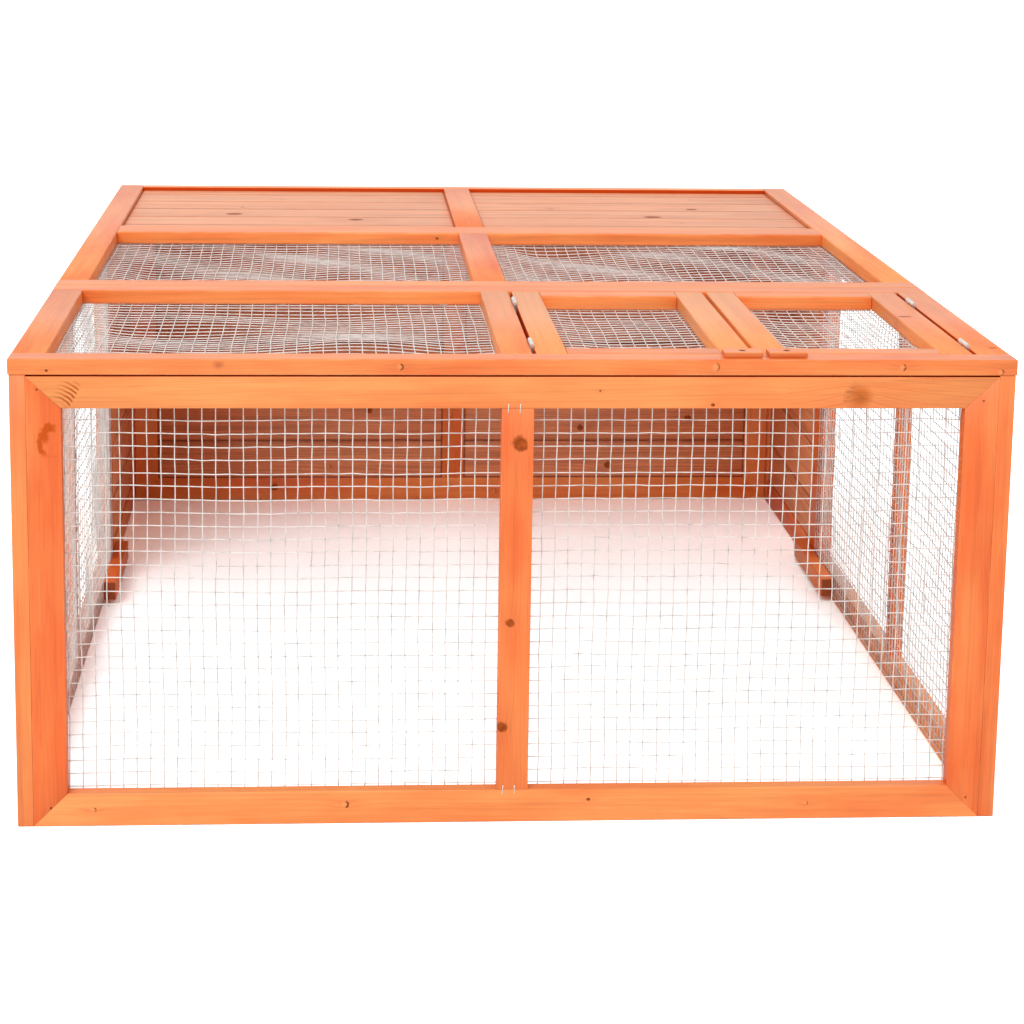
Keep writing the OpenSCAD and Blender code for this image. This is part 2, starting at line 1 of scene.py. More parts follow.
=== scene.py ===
"""Looks of a wooden outdoor animal hutch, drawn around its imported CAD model.

Every strip and board is redrawn with eased edges, knots, and a grain of its own along it.
The plates that stand for the mesh become slack welded wire, stapled to the strips.
Lengths are in metres and places are in the shared frame: X to the right as seen from the
front, Y to the back, Z up.
"""

import math

import bpy
import numpy as np
from mathutils import Matrix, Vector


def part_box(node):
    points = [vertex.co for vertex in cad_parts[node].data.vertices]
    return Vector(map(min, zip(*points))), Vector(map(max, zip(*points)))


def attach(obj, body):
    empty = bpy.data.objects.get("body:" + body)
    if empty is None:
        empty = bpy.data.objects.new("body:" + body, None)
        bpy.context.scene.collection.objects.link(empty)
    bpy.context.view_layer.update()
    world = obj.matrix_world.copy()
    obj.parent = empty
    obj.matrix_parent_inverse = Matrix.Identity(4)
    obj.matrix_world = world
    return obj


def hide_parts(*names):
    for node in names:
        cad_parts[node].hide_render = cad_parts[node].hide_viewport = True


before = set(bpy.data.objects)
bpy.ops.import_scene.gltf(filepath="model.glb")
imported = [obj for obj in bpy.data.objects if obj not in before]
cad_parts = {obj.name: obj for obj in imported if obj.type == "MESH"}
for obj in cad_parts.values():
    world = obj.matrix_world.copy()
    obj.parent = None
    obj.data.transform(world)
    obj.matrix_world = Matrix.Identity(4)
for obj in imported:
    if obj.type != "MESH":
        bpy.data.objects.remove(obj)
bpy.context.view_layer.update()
chance = np.random.default_rng(1127)

MM = 0.001
X, Y, Z = 0, 1, 2

# Sizes of what is only drawn here
EASED_EDGE = 1.3 * MM  # radius of the strips' long edges
CRISP_EDGE = 0.4 * MM  # the same on the front wall and on the side walls' end stiles
BOARD_EDGE = 1.8 * MM  # radius of the boards' edges, which meet in small V grooves
END_EASE = 0.5 * MM  # chamfer at the sawn ends
MITRE_EASE = 0.15 * MM  # the same where two strips are mitred
HAIR = 0.07 * MM  # half the width of a glued joint
PANEL_GAP = 0.32 * MM  # what a strip stays short of the plane where two panels meet
RING_WIDTH = 3.1 * MM  # of the growth rings
KNOT_STEP = 0.4  # a strip has about one knot in this length
MITRE_ROOM = 34 * MM  # no strip is cut into sections this close to its ends
FAR = 9.0  # a knot this far off along the strip isn't seen
HEART_NEAR, HEART_SPREAD = 28 * MM, 55 * MM  # how far off the heart of the tree lies
WIRE_PITCH = 12.7 * MM
WIRE_RADIUS = 0.54 * MM
NET_BORDER = 16 * MM  # next to a strip that holds it a net lies flat, as wide as this
NET_EASE = 60 * MM  # then it comes to its full slack in this length
NET_TRIM = 4 * MM  # a wire ends at most this far inside the net's border
NET_STAPLE_STEP = 95 * MM
STAPLE_WIRE = 0.55 * MM  # radius

# The waves of a slack net: height, and radians a metre along its first and second axis
SLACK_WAVES = [(1.0, 9, 5), (1.0, 17, -13), (0.6, 31, 27)]

# Where the photograph was taken from, and its yaw, pitch and roll in degrees
VIEWPOINT = (-0.1703, -2.8249, 0.9009)
VIEW_TURN = (3.723, 10.265, 0.815)

# What a mark is, besides a knot, as a whole number that is added to its radius: grain that
# curls round a knot just below the surface and isn't drawn, a fan of short dark arcs where
# the plane cut through curled grain, a comma of thicker stain that a brush left, and a soft
# brown spot over a knot below the surface
CURL, FAN, SMEAR, SPOT = 1.0, 2.0, 3.0, 4.0

# How a face was cut, from 0 on the sides: a sawn end, one that drank more stain and is
# painted in shade as well, and a side in a slot or a rebate, which is painted in shade
SAWN, DARK_SAWN_AND_SHADE, SLOT = 1.0, 1.9, 3.0

# The sides of eased_outline's points that lie on the high and the low side across a strip
HIGH_SIDES = [17, 18, 19, 0, 1]
LOW_SIDES = [7, 8, 9, 10, 11]


# Shapes as arrays


def solid_boxes(node):
    """The (low, high) corners of each separate solid of a CAD node, from its triangles.

    Corners at one place count as one. Each triangle gives its corners the lowest number
    among them, again and again, until every solid carries a single number.
    """
    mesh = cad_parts[node].data
    place = np.empty(len(mesh.vertices) * 3, np.float32)
    mesh.vertices.foreach_get("co", place)
    place = place.reshape(-1, 3)
    mesh.calc_loop_triangles()
    corner = np.empty(len(mesh.loop_triangles) * 3, np.int32)
    mesh.loop_triangles.foreach_get("vertices", corner)
    spots, same = np.unique(np.round(place, 6), axis=0, return_inverse=True)
    triangle = same.reshape(-1)[corner].reshape(-1, 3)
    number = np.arange(len(spots))
    while True:
        lowest = number[triangle].min(axis=1)
        spread = number.copy()
        np.minimum.at(spread, triangle.ravel(), np.repeat(lowest, 3))
        if (spread == number).all():
            break
        number = spread
    groups = [spots[number == g] for g in np.unique(number)]
    return [(g.min(axis=0).astype(float), g.max(axis=0).astype(float)) for g in groups]


def strips_of(node):
    """The solids of a node in order of X, then Y, then Z."""
    return sorted(solid_boxes(node), key=lambda box: tuple(np.round(box[0] + box[1], 4)))


def centre_of(low, high):
    return (np.array(low) + np.array(high)) / 2


def eased_outline(half_a, half_b, radius):
    """Points round a rectangle with rounded corners, and how much each lies on an edge.

    A corner has five points: one on each flat side just inside it, the two where its arc
    starts and ends, and the middle of the arc. The edge value is 0, 0.5 and 1 there.
    """
    turn = np.arange(4) * math.pi / 2
    sign_a = np.array([1, -1, -1, 1.0])
    sign_b = np.array([1, 1, -1, -1.0])
    centre = np.stack([sign_a * (half_a - radius), sign_b * (half_b - radius)], 1)
    arc = np.array([0, 0.25, 0.5]) * math.pi
    on_arc = np.stack([np.cos(turn[:, None] + arc), np.sin(turn[:, None] + arc)], 2)
    inset = 1.6 * radius
    start = np.stack([np.cos(turn), np.sin(turn)], 1)
    stop = np.stack([np.cos(turn + math.pi / 2), np.sin(turn + math.pi / 2)], 1)
    points = np.concatenate(
        [
            (centre + radius * start - inset * stop)[:, None],
            centre[:, None] + radius * on_arc,
            (centre + radius * stop - inset * start)[:, None],
        ],
        1,
    )
    edge = np.tile([0, 0.5, 1, 0.5, 0], 4)
    return points.reshape(-1, 2), edge


def bands(rings, sides, first=0):
    """Quads between neighbouring rings of points, each ring closed on itself."""
    ring = np.arange(rings - 1)[:, None] * sides
    side = np.arange(sides)[None, :]
    ahead = (side + 1) % sides
    quads = np.stack([ring + side, ring + ahead, ring + sides + ahead, ring + sides + side], 2)
    return quads.reshape(-1, 4) + first


def in_scene(name, data):
    thing = bpy.data.objects.new(name, data)
    bpy.context.scene.collection.objects.link(thing)
    return thing


class Shape:
    """Points, faces of several corner counts, and values that the materials read."""

    def __init__(self):
        self.points, self.faces, self.soft, self.values = [], [], [], {}
        self.count = 0

    def add(self, points, faces, soft, **values):
        """Adds a surface. faces is a list of arrays, one row a face; soft says which are
        shaded smooth; each value has one row for every corner of those faces in turn."""
        self.points.append(points)
        self.faces += [f + self.count for f in faces]
        self.soft += [np.full(len(f), s) for f, s in zip(faces, soft)]
        for name, rows in values.items():
            self.values.setdefault(name, []).append(rows)
        self.count += len(points)

    def piece(self, name, material, body, slot, *nodes):
        """Makes the object, lets it ride on its body and stand for the CAD nodes."""
        mesh = bpy.data.meshes.new(name)
        points = np.concatenate(self.points)
        corners = np.concatenate([f.ravel() for f in self.faces]).astype(np.int32)
        sizes = np.concatenate([np.full(len(f), f.shape[1]) for f in self.faces])
        starts = np.concatenate([[0], np.cumsum(sizes)[:-1]])
        mesh.vertices.add(len(points))
        mesh.vertices.foreach_set("co", points.astype(np.float32).ravel())
        mesh.loops.add(len(corners))
        mesh.loops.foreach_set("vertex_index", corners)
        mesh.polygons.add(len(sizes))
        mesh.polygons.foreach_set("loop_start", starts.astype(np.int32))
        mesh.polygons.foreach_set("loop_total", sizes.astype(np.int32))
        mesh.polygons.foreach_set("use_smooth", np.concatenate(self.soft))
        mesh.update(calc_edges=True)
        for key, rows in self.values.items():
            layer = mesh.attributes.new(key, "FLOAT_VECTOR", "CORNER")
            layer.data.foreach_set("vector", np.concatenate(rows).astype(np.float32).ravel())
        mesh.validate()
        mesh.materials.append(material)
        thing = in_scene(name, mesh)
        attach(thing, body)
        if nodes:
            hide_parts(*nodes)
        return thing


def add_tubes(shape, points, inward=False):
    """Adds closed tubes: points has a row for each tube, station and side.

    inward says that the sides go round so that the faces have to be turned over.
    """
    count, stations, sides = points.shape[:3]
    quads = bands(stations, sides)
    caps = np.stack([np.arange(sides)[::-1], np.arange(sides) + (stations - 1) * sides])
    if inward:
        quads, caps = quads[:, ::-1], caps[:, ::-1]
    shift = np.arange(count)[:, None, None] * stations * sides
    faces = [(quads + shift).reshape(-1, 4), (caps + shift).reshape(-1, sides)]
    shape.add(points.reshape(-1, 3), faces, (True, False))


# Timber


def random_knots(low, high, run, wide):
    """Knots for a strip that the photograph doesn't show closely.

    The strip is divided into equal cells, and each cell has one knot somewhere in it.
    """
    length = high[run] - low[run]
    count = int(length / KNOT_STEP + 0.75 * chance.random())
    share = (np.arange(count) + 0.15 + 0.7 * chance.random(count)) / max(count, 1)
    along = low[run] + length * share
    across = low[wide] + (high[wide] - low[wide]) * (0.2 + 0.6 * chance.random(count))
    size = (1.8 + 3.6 * chance.random(count) ** 2) * MM
    return [(a, c, s, s * 0.85, 0.0) for a, c, s in zip(along, across, size)]


def strip_rings(low, high, axes, radius, cuts, mitre):
    """A strip's points in rings along it, and how much each point lies on an edge.

    An eased outline is carried along the strip, with a ring at each cut and a small
    chamfer at both ends. On a mitred strip the ends draw back in a straight line, from
    nothing at the strip's outer edge to mitre's two lengths at its inner edge, which is
    the low or the high one across the strip.
    """
    run, wide, thin = axes
    size, middle = high - low, (low + high) / 2
    full, edge = eased_outline(size[wide] / 2, size[thin] / 2, radius)
    ease = MITRE_EASE if mitre else END_EASE
    tight = full - np.sign(full) * ease
    inner, (back_low, back_high) = mitre or ("low", (0.0, 0.0))

    def ring(outline, along, back=0.0):
        place = np.empty((len(outline), 3))
        place[:, wide] = middle[wide] + outline[:, 0]
        place[:, thin] = middle[thin] + outline[:, 1]
        share = (place[:, wide] - low[wide]) / size[wide]
        place[:, run] = along + back * (1 - share if inner == "low" else share)
        return place

    rings = [
        ring(tight, low[run], back_low),
        ring(full, low[run] + ease, back_low),
        *[ring(full, place) for place in cuts],
        ring(full, high[run] - ease, -back_high),
        ring(tight, high[run], -back_high),
    ]
    flat = np.ones(len(full))
    return np.array(rings), np.concatenate([flat, np.tile(edge, len(rings) - 2), flat])


def panel_values(points, middle, panel, axes):
    """Each point's place from the middle of its panel's opening, and half of its size.

    A strip whose middle is on the negative side lies in the mirrored opening.
    """
    run, wide, _ = axes
    opening = np.where(middle[[run, wide]] < 0, -panel[::-1], panel)
    place, half = np.zeros((len(points), 3)), np.zeros((len(points), 3))
    place[:, :2] = points[:, [run, wide]] - opening.mean(axis=0)
    half[:, :2] = (opening[1] - opening[0]) / 2
    return {"panel": place, "panel_half": half}


def grain_values(points, middle, axes):
    """Each point's place along the grain, and across it from the heart of the tree.

    The heart runs along the strip, somewhere round it and at a random distance.
    """
    run, wide, thin = axes
    angle = chance.random() * 2 * math.pi
    heart = HEART_NEAR + HEART_SPREAD * chance.random()
    across = points[:, wide] - middle[wide] + heart * math.cos(angle)
    deep = points[:, thin] - middle[thin] + heart * math.sin(angle)
    return np.stack([points[:, run] + 10 * chance.random(), across, deep], 1)


def add_strip(
    shape,
    low,
    high,
    radius,
    tone,
    knots=None,
    bare=False,
    mitre=None,
    through=None,
    panel=None,
    slot=None,
    cut_darkening=SAWN,
):
    """Adds one strip of timber that fills the box from low to high, with flat end caps.

    It runs along its longest side. Knots go through it along its shortest side, or along
    the axis through, and a bare strip has none. The strip is cut into sections, one for
    each knot, and every corner of a section carries its place relative to that knot, in
    units of the knot's radii, and the knot's radius across the strip, plus the whole
    number of its kind. The finish value holds how far a corner lies on an edge, the tone
    of the stain, and how the face was cut, which darkens sawn ends with stain and, on the
    side cleats' ends, with painted shade too. slot is 1 or -1 where the high or the low side
    across the strip lies in a slot, and that side is painted in shade.
    """
    size, middle = high - low, (low + high) / 2
    run = int(np.argmax(size))
    thin = int(np.argmin(size)) if through is None else through
    wide = 3 - run - thin
    axes = run, wide, thin
    marks = sorted(random_knots(low, high, run, wide) if knots is None else knots)
    if bare or not marks:
        marks = [(middle[run] + FAR, middle[wide], 10 * MM, 10 * MM, 0.0)]
    marks = np.array(marks)
    cuts = (marks[1:, 0] + marks[:-1, 0]) / 2
    cuts = np.clip(cuts, low[run] + MITRE_ROOM, high[run] - MITRE_ROOM)
    rings, on_edge = strip_rings(low, high, axes, radius, cuts, mitre)
    points, sides = rings.reshape(-1, 3), rings.shape[1]
    quads = bands(len(rings), sides)
    caps = np.stack([np.arange(sides), np.arange(sides)[::-1] + len(points) - sides])
    # a right-handed (wide, thin, run) frame has its quads facing out; the other is flipped
    if (wide, thin, run) in ((0, 1, 2), (1, 2, 0), (2, 0, 1)):
        caps = caps[:, ::-1]
    else:
        quads = quads[:, ::-1]

    def to_knot(corners, which):
        near = marks[which][:, None]
        place = points[corners]
        along = (place[..., run] - near[..., 0]) / near[..., 2]
        across = (place[..., wide] - near[..., 1]) / near[..., 3]
        size_and_kind = 0 * along + near[..., 3] + near[..., 4]
        return np.stack([along, across, size_and_kind], -1).reshape(-1, 3)

    section = np.repeat(np.clip(np.arange(len(rings) - 1) - 1, 0, len(marks) - 1), sides)
    ends = np.array([0, len(marks) - 1])
    values = {"grain": grain_values(points, middle, axes)}
    if panel is not None:
        values.update(panel_values(points, middle, panel, axes))
    carried = {
        name: np.concatenate([rows[quads].reshape(-1, 3), rows[caps].reshape(-1, 3)])
        for name, rows in values.items()
    }
    sides_finish = np.stack([on_edge[quads], np.full(quads.shape, tone), 0.0 * quads], -1)
    ends_finish = np.broadcast_to([0.0, tone, cut_darkening], (*caps.shape, 3))
    if slot:
        in_slot = np.isin(np.arange(len(quads)) % sides, HIGH_SIDES if slot > 0 else LOW_SIDES)
        sides_finish[in_slot, :, 2] = SLOT
    shape.add(
        points,
        [quads, caps],
        (True, False),
        knot=np.concatenate([to_knot(quads, section), to_knot(caps, ends)]),
        finish=np.concatenate([sides_finish.reshape(-1, 3), ends_finish.reshape(-1, 3)]),
        **carried,
    )


def knot(along, across, radius, stretch=1.0, kind=0.0):
    """A knot from its place along and across a strip, and its radius, in millimetres.

    stretch is how much longer than wide it is along the strip.
    """
    return (along * MM, across * MM, radius * stretch * MM, radius * MM, kind)


# Knots and other marks that the photograph shows, by CAD node
SEEN_KNOTS = {
    "front_centre_stile": [
        knot(370.2, 2.4, 7.5),
        knot(196.8, -4.2, 4.2),
        knot(94.1, -10.8, 5),
    ],
    "front_bottom_rail": [
        knot(-395.4, 15.8, 2.1, 1.2),
        knot(-158.8, 18.7, 3.2, 1.2),
        knot(73, 21.5, 1.3, 1.3),
        knot(283.2, 15.8, 2),
    ],
    "front_top_rail": [
        knot(-427.4, 394.7, 10, kind=FAN),
        knot(75.9, 420.2, 0.9),
        knot(181.4, 407, 1.5, 1.2),
        knot(320, 414.5, 13.2, 1.05),
    ],
    "front_left_stile": [
        knot(421.1, -441.1, 0.9),
        knot(370.2, -429.3, 10.5, 1.6, SMEAR),
        knot(132.7, -444.4, 3, 3, CURL),
        knot(17.7, -435, 1, 1.4),
    ],
    "front_right_stile": [
        knot(410.7, 436.9, 1),
        knot(255.2, 445.3, 3, 3, CURL),
        knot(19.6, 438.7, 0.9),
    ],
    "roof_front_rail": [
        knot(-432.1, 439, 1.2),
        knot(-275.7, 444.7, 6.4, 1.15, SPOT),
        knot(-109.8, 442.8, 3.2),
        knot(183.3, 442.8, 3.4),
        knot(358.6, 442.8, 3.2),
        knot(451.9, 438.1, 2.8),
    ],
    "back_bottom_rail": [knot(-254, 19, 5), knot(60, 12, 3), knot(300, 20, 3.6)],
    "left_run_stiles": [],
    "right_run_stiles": [],
    "right_door_hinge_stile": [knot(-388, 411, 7.5, 0.35)],
    "roof_front_right_stile": [knot(-551, 459, 4.3, 0.5)],
    "roof_shelter_rail": [knot(-44, 443, 1.4, 1.3)],
}

# Strips that the photograph shows without a knot
KNOT_FREE = """roof_front_left_stile roof_front_centre_stile roof_head_rail roof_middle_rail
    roof_back_rail roof_rear_left_stile roof_rear_centre_stiles roof_rear_right_stile
    left_door_hinge_stile left_door_latch_stile left_door_rails right_door_latch_stile
    right_door_rails""".split()

# Knots of the boards that the photograph shows
SEEN_BOARD_KNOTS = {
    "roof_boards": [
        knot(-300, 363, 8, 1.3),
        knot(-142, 317, 7.5, 1.2),
        knot(246, 352, 8.8, 1.3),
        knot(308, 426, 6.5, 1.2),
        knot(117, 426, 4, 1.4),
    ],
    "back_boards": [
        knot(337, 119, 4.8),
        knot(223, 50, 5),
        knot(182, 105, 4.3),
        knot(-120, 130, 4.3),
    ],
}

# Where the roof's front net sags or, below 0, stands up, in millimetres: place along X and
# Y, depth, and how far it reaches along X and Y
ROOF_DIPS = [
    (-350, -395, 5.5, 90, 50),
    (-290, -290, 2.5, 80, 30),
    (-125, -465, -5.0, 80, 50),
]

# How pale (above 0) or dark (below 0) the stain came out on what the photograph shows;
# the pale tones of roof_back_rail and roof_boards also hold a painted highlight
SEEN_TONES = {
    "front_top_rail": 0.6,
    "front_bottom_rail": 0.65,
    "front_left_stile": -1.15,
    "front_right_stile": -1.3,
    "front_centre_stile": -0.3,
    "roof_front_rail": -0.3,
    "roof_front_left_stile": 0.3,
    "roof_front_centre_stile": 0.2,
    "roof_front_right_stile": 0.0,
    "roof_head_rail": -0.1,
    "roof_middle_rail": 0.25,
    "roof_shelter_rail": 0.2,
    # paler partly as a painted highlight, for the sheen on its top
    "roof_back_rail": 0.8,
    "roof_rear_left_stile": 0.2,
    "roof_rear_centre_stiles": -0.6,
    "roof_rear_right_stile": 0.1,
    "left_run_stiles": -0.2,
    "right_run_stiles": -0.7,
    "left_door_hinge_stile": 2.0,
    "left_door_latch_stile": 1.6,
    "left_door_rails": 0.2,
    "right_door_rails": 0.2,
    "right_door_hinge_stile": 0.8,
    "right_door_latch_stile": 1.6,
    "left_turn_button": 0.6,
    "right_turn_button": 0.2,
    # paler partly as a painted highlight, for the sheen on the boards' tops
    "roof_boards": 0.7,
    "back_boards": -0.6,
}

WOOD_NODES = {
    "hutch": """front_top_rail front_bottom_rail front_left_stile front_right_stile
        front_centre_stile left_run_rails left_run_stiles left_middle_stile left_shelter_rails
        left_shelter_stiles right_run_rails right_run_stiles right_middle_stile
        right_shelter_rails right_shelter_stiles side_cleats back_top_rail back_bottom_rail
        back_corner_stiles back_centre_stile roof_front_rail roof_head_rail
        roof_front_left_stile roof_front_centre_stile roof_front_right_stile
        roof_middle_rail roof_shelter_rail roof_back_rail roof_rear_left_stile
        roof_rear_centre_stiles roof_rear_right_stile""".split(),
    "left_door": "left_door_hinge_stile left_door_latch_stile left_door_rails".split(),
    "right_door": "right_door_hinge_stile right_door_latch_stile right_door_rails".split(),
}

# What frames the boards: the axes along and across them, and the nodes whose strips close
# the opening at its near and far end, below and above
FRAMED_BY = {
    "left_boards": (Y, Z, "left_shelter_stiles", "left_shelter_rails"),
    "right_boards": (Y, Z, "right_shelter_stiles", "right_shelter_rails"),
    "back_boards": (
        X,
        Z,
        "back_centre_stile back_corner_stiles",
        "back_bottom_rail back_top_rail",
    ),
    "roof_boards": (
        X,
        Y,
        "roof_rear_centre_stiles roof_rear_right_stile",
        "roof_shelter_rail roof_back_rail",
    ),
}

# The planes where two panels of the roof or two parts of the side walls meet
PANEL_JOINTS = [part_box("roof_middle_rail")[0][Y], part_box("left_shelter_stiles")[0][Y]]

# Strips with a side in a slot or a rebate, which is painted in shade: the low (-1) or the
# high (1) side across them
SLOT_SIDES = {
    "left_door_hinge_stile": -1,
    "roof_front_centre_stile": 1,
    "right_door_hinge_stile": 1,
    "roof_front_right_stile": -1,
    "roof_back_rail": -1,
    "front_top_rail": 1,
}

# Mitred strips: the inner edge of each solid, and the strips that its two ends meet
MITRED = {
    "front_top_rail": ("low", "front_left_stile front_right_stile"),
    "front_bottom_rail": ("high", "front_left_stile front_right_stile"),
    "front_left_stile": ("high", "front_bottom_rail front_top_rail"),
    "front_right_stile": ("low", "front_bottom_rail front_top_rail"),
    "back_top_rail": ("low", "back_corner_stiles back_corner_stiles"),
    "back_bottom_rail": ("high", "back_corner_stiles back_corner_stiles"),
    "back_corner_stiles": ("high low", "back_bottom_rail back_top_rail"),
}


def mitre_of(node, number):
    """The inner edge of one of a node's solids, and how far its two ends draw back.

    An end draws back by the width of the strip that it meets: the middle one of that
    strip's three sizes.
    """
    if node not in MITRED:
        return None
    inner, met = MITRED[node]
    boxes = [strips_of(name)[0] for name in met.split()]
    return inner.split()[number], [np.sort(high - low)[1] for low, high in boxes]


def edge_radius(node):
    """How far a strip's long edges are rounded."""
    if node in FRAMED_BY:
        return BOARD_EDGE
    if node.startswith("front_") or node.endswith("_run_stiles"):
        return CRISP_EDGE
    return 2 * CRISP_EDGE if node == "roof_front_rail" else EASED_EDGE


def with_hairline(low, high):
    """A strip's box, drawn in by HAIR all round, and by PANEL_GAP more where panels meet."""
    low, high = low + HAIR, high - HAIR
    for place in PANEL_JOINTS:
        low[Y] += PANEL_GAP * (abs(low[Y] - HAIR - place) < HAIR)
        high[Y] -= PANEL_GAP * (abs(high[Y] + HAIR - place) < HAIR)
    return low, high


def panel_opening(node):
    """The low and high corner of the opening that a node's boards close.

    Both are places along and across the boards. The opening lies between the inner faces
    of the first and the last strip of its frame. Of two openings side by side it is the
    one on the positive side.
    """
    run, wide, *frames = FRAMED_BY[node]
    ends, sides = [[strips_of(name) for name in names.split()] for names in frames]
    low = [ends[0][0][1][run], sides[0][0][1][wide]]
    high = [ends[-1][-1][0][run], sides[-1][-1][0][wide]]
    return np.array([low, high])


def add_timber(node, finish, part, body):
    """Draws all the strips of a node as one piece, and hides the node."""
    shape = Shape()
    panel = panel_opening(node) if node in FRAMED_BY else None
    for number, (low, high) in enumerate(strips_of(node)):
        knots = SEEN_KNOTS.get(node)
        if node in SEEN_BOARD_KNOTS:
            run, wide = FRAMED_BY[node][:2]
            knots = [
                mark
                for mark in SEEN_BOARD_KNOTS[node]
                if low[run] < mark[0] < high[run] and low[wide] < mark[1] < high[wide]
            ] or None
        if panel is None:
            low, high = with_hairline(low, high)
        tone = 0.6 * chance.normal()
        add_strip(
            shape,
            low,
            high,
            edge_radius(node),
            SEEN_TONES.get(node, tone) + 0.3 * tone,
            knots,
            bare=node in KNOT_FREE,
            mitre=mitre_of(node, number),
            through=Y if node in ("roof_front_rail", "roof_shelter_rail") else None,
            panel=panel,
            slot=SLOT_SIDES.get(node),
            # the side cleats' ends are painted darker: end grain that drank more stain, and
            # painted shade
            cut_darkening=DARK_SAWN_AND_SHADE if node == "side_cleats" else SAWN,
        )
    return shape.piece(node + "_timber", finish, body, part, node)


# Finishes


def written(red, green, blue):
    """A colour as it is seen on a screen, 0 to 255, as the linear values shaders take."""
    share = np.array([red, green, blue]) / 255
    linear = np.where(share < 0.04045, share / 12.92, ((share + 0.055) / 1.055) ** 2.4)
    return (*linear.tolist(), 1.0)


class Flow:
    """What a node puts out. Plain arithmetic with it lays a math node for each sign."""

    def __init__(self, tree, socket):
        self.tree, self.socket = tree, socket

    def __add__(self, other):
        return self.tree.math("ADD", self, other)

    def __sub__(self, other):
        return self.tree.math("SUBTRACT", self, other)

    def __rsub__(self, other):
        return self.tree.math("SUBTRACT", other, self)

    def __mul__(self, other):
        return self.tree.math("MULTIPLY", self, other)

    def __truediv__(self, other):
        return self.tree.math("DIVIDE", self, other)

    def __pow__(self, other):
        return self.tree.math("POWER", self, other)

    def __lt__(self, other):
        return self.tree.math("LESS_THAN", self, other)

    def __abs__(self):
        return self.tree.math("ABSOLUTE", self)


class Nodes:
    """A node tree, whose nodes are laid down in the order in which they are asked for."""

    def __init__(self, tree):
        self.nodes, self.links = tree.nodes, tree.links

    def put(self, socket, value):
        """Links a socket to another node's output, or sets its number or colour."""
        if isinstance(value, Flow):
            self.links.new(value.socket, socket)
        else:
            socket.default_value = value

    def lay(self, kind, settings, inputs, output=0):
        """Adds a node with the settings and inputs, and returns one of its outputs."""
        node = self.nodes.new(kind)
        for name, value in settings.items():
            setattr(node, name, value)
        for name, value in inputs.items():
            self.put(node.inputs[name], value)
        return Flow(self, node.outputs[output])

    def attribute(self, name):
        return self.lay("ShaderNodeAttribute", {"attribute_name": name}, {}, "Vector")

    def place(self):
        return self.lay("ShaderNodeTexCoord", {}, {}, "Object")

    def split(self, vector):
        node = self.nodes.new("ShaderNodeSeparateXYZ")
        self.put(node.inputs[0], vector)
        return [Flow(self, output) for output in node.outputs]

    def join(self, x, y, z):
        return self.lay("ShaderNodeCombineXYZ", {}, {0: x, 1: y, 2: z})

    def arrow(self, operation, a, b=(0, 0, 0), output=0):
        """The same as math, for vectors."""
        return self.lay("ShaderNodeVectorMath", {"operation": operation}, {0: a, 1: b}, output)

    def length(self, vector):
        return self.arrow("LENGTH", vector, output="Value")

    def math(self, operation, a, b=0.0, c=0.0, clamp=False):
        settings = {"operation": operation, "use_clamp": clamp}
        return self.lay("ShaderNodeMath", settings, {0: a, 1: b, 2: c})

    def largest(self, first, *others):
        for other in others:
            first = self.math("MAXIMUM", first, other)
        return first

    def noise(self, vector, scale=1.0, detail=2.0, rough=0.5):
        inputs = {"Vector": vector, "Scale": scale, "Detail": detail, "Roughness": rough}
        return self.lay("ShaderNodeTexNoise", {}, inputs)

    def between(self, value, low, high, to_low=0.0, to_high=1.0):
        """A smooth step: to_low up to low, to_high from high on."""
        inputs = {"Value": value, "From Min": low, "From Max": high}
        inputs.update({"To Min": to_low, "To Max": to_high})
        return self.lay("ShaderNodeMapRange", {"interpolation_type": "SMOOTHSTEP"}, inputs)

    def fade(self, value, low, high, full=1.0):
        """A smooth step down: full up to low, 0 from high on."""
        return self.between(value, low, high, full, 0.0)

    def blend(self, share, first, second, kind="MIX"):
        settings = {"data_type": "RGBA", "blend_type": kind}
        return self.lay("ShaderNodeMix", settings, {"Factor": share, 6: first, 7: second}, 2)

    def bump(self, height, distance, strength=1.0):
        inputs = {"Height": height, "Distance": distance, "Strength": strength}
        return self.lay("ShaderNodeBump", {}, inputs)


class Finish(Nodes):
    """One material."""

    def __init__(self, name):
        self.material = bpy.data.materials.new(name)
        self.material.use_nodes = True
        super().__init__(self.material.node_tree)
        self.shader = self.nodes["Principled BSDF"]

    def set(self, **inputs):
        """Sets or links sockets of the shader; an underscore stands for a space."""
        for name, value in inputs.items():
            self.put(self.shader.inputs[name.replace("_", " ")], value)
        return self.material


# Colours in the timber, besides those of the stain
HEARTWOOD, DARK_HEARTWOOD = written(184, 86, 34), written(136, 60, 20)
STAINED_HEARTWOOD = written(252, 158, 94)
BARK = written(122, 52, 16)
PIN_KNOT = written(122, 50, 14)
FAN_ARCS = written(166, 72, 22)
BRUSHED_STAIN = written(198, 82, 26)
SOFT_SPOT = written(150, 68, 24)
# stain gathered in the boards' grooves, with painted shade there and along the frame
GROOVE_STAIN_AND_SHADE = written(150, 72, 40)
# pale worn edges, together with a painted highlight along them
WORN_EDGE_AND_HIGHLIGHT = written(255, 180, 122)
# stain of sawn end grain, also used as painted shade on the turn buttons' sides and in slots
SAWN_END_AND_SHADE = written(206, 112, 60)
# darker end grain stain with painted shade, on the side cleats' ends and the turn buttons' sides
DARK_END_AND_SHADE = written(140, 62, 26)
# painted shade for the sides in slots and rebates
SLOT_SHADE = written(205, 66, 12)


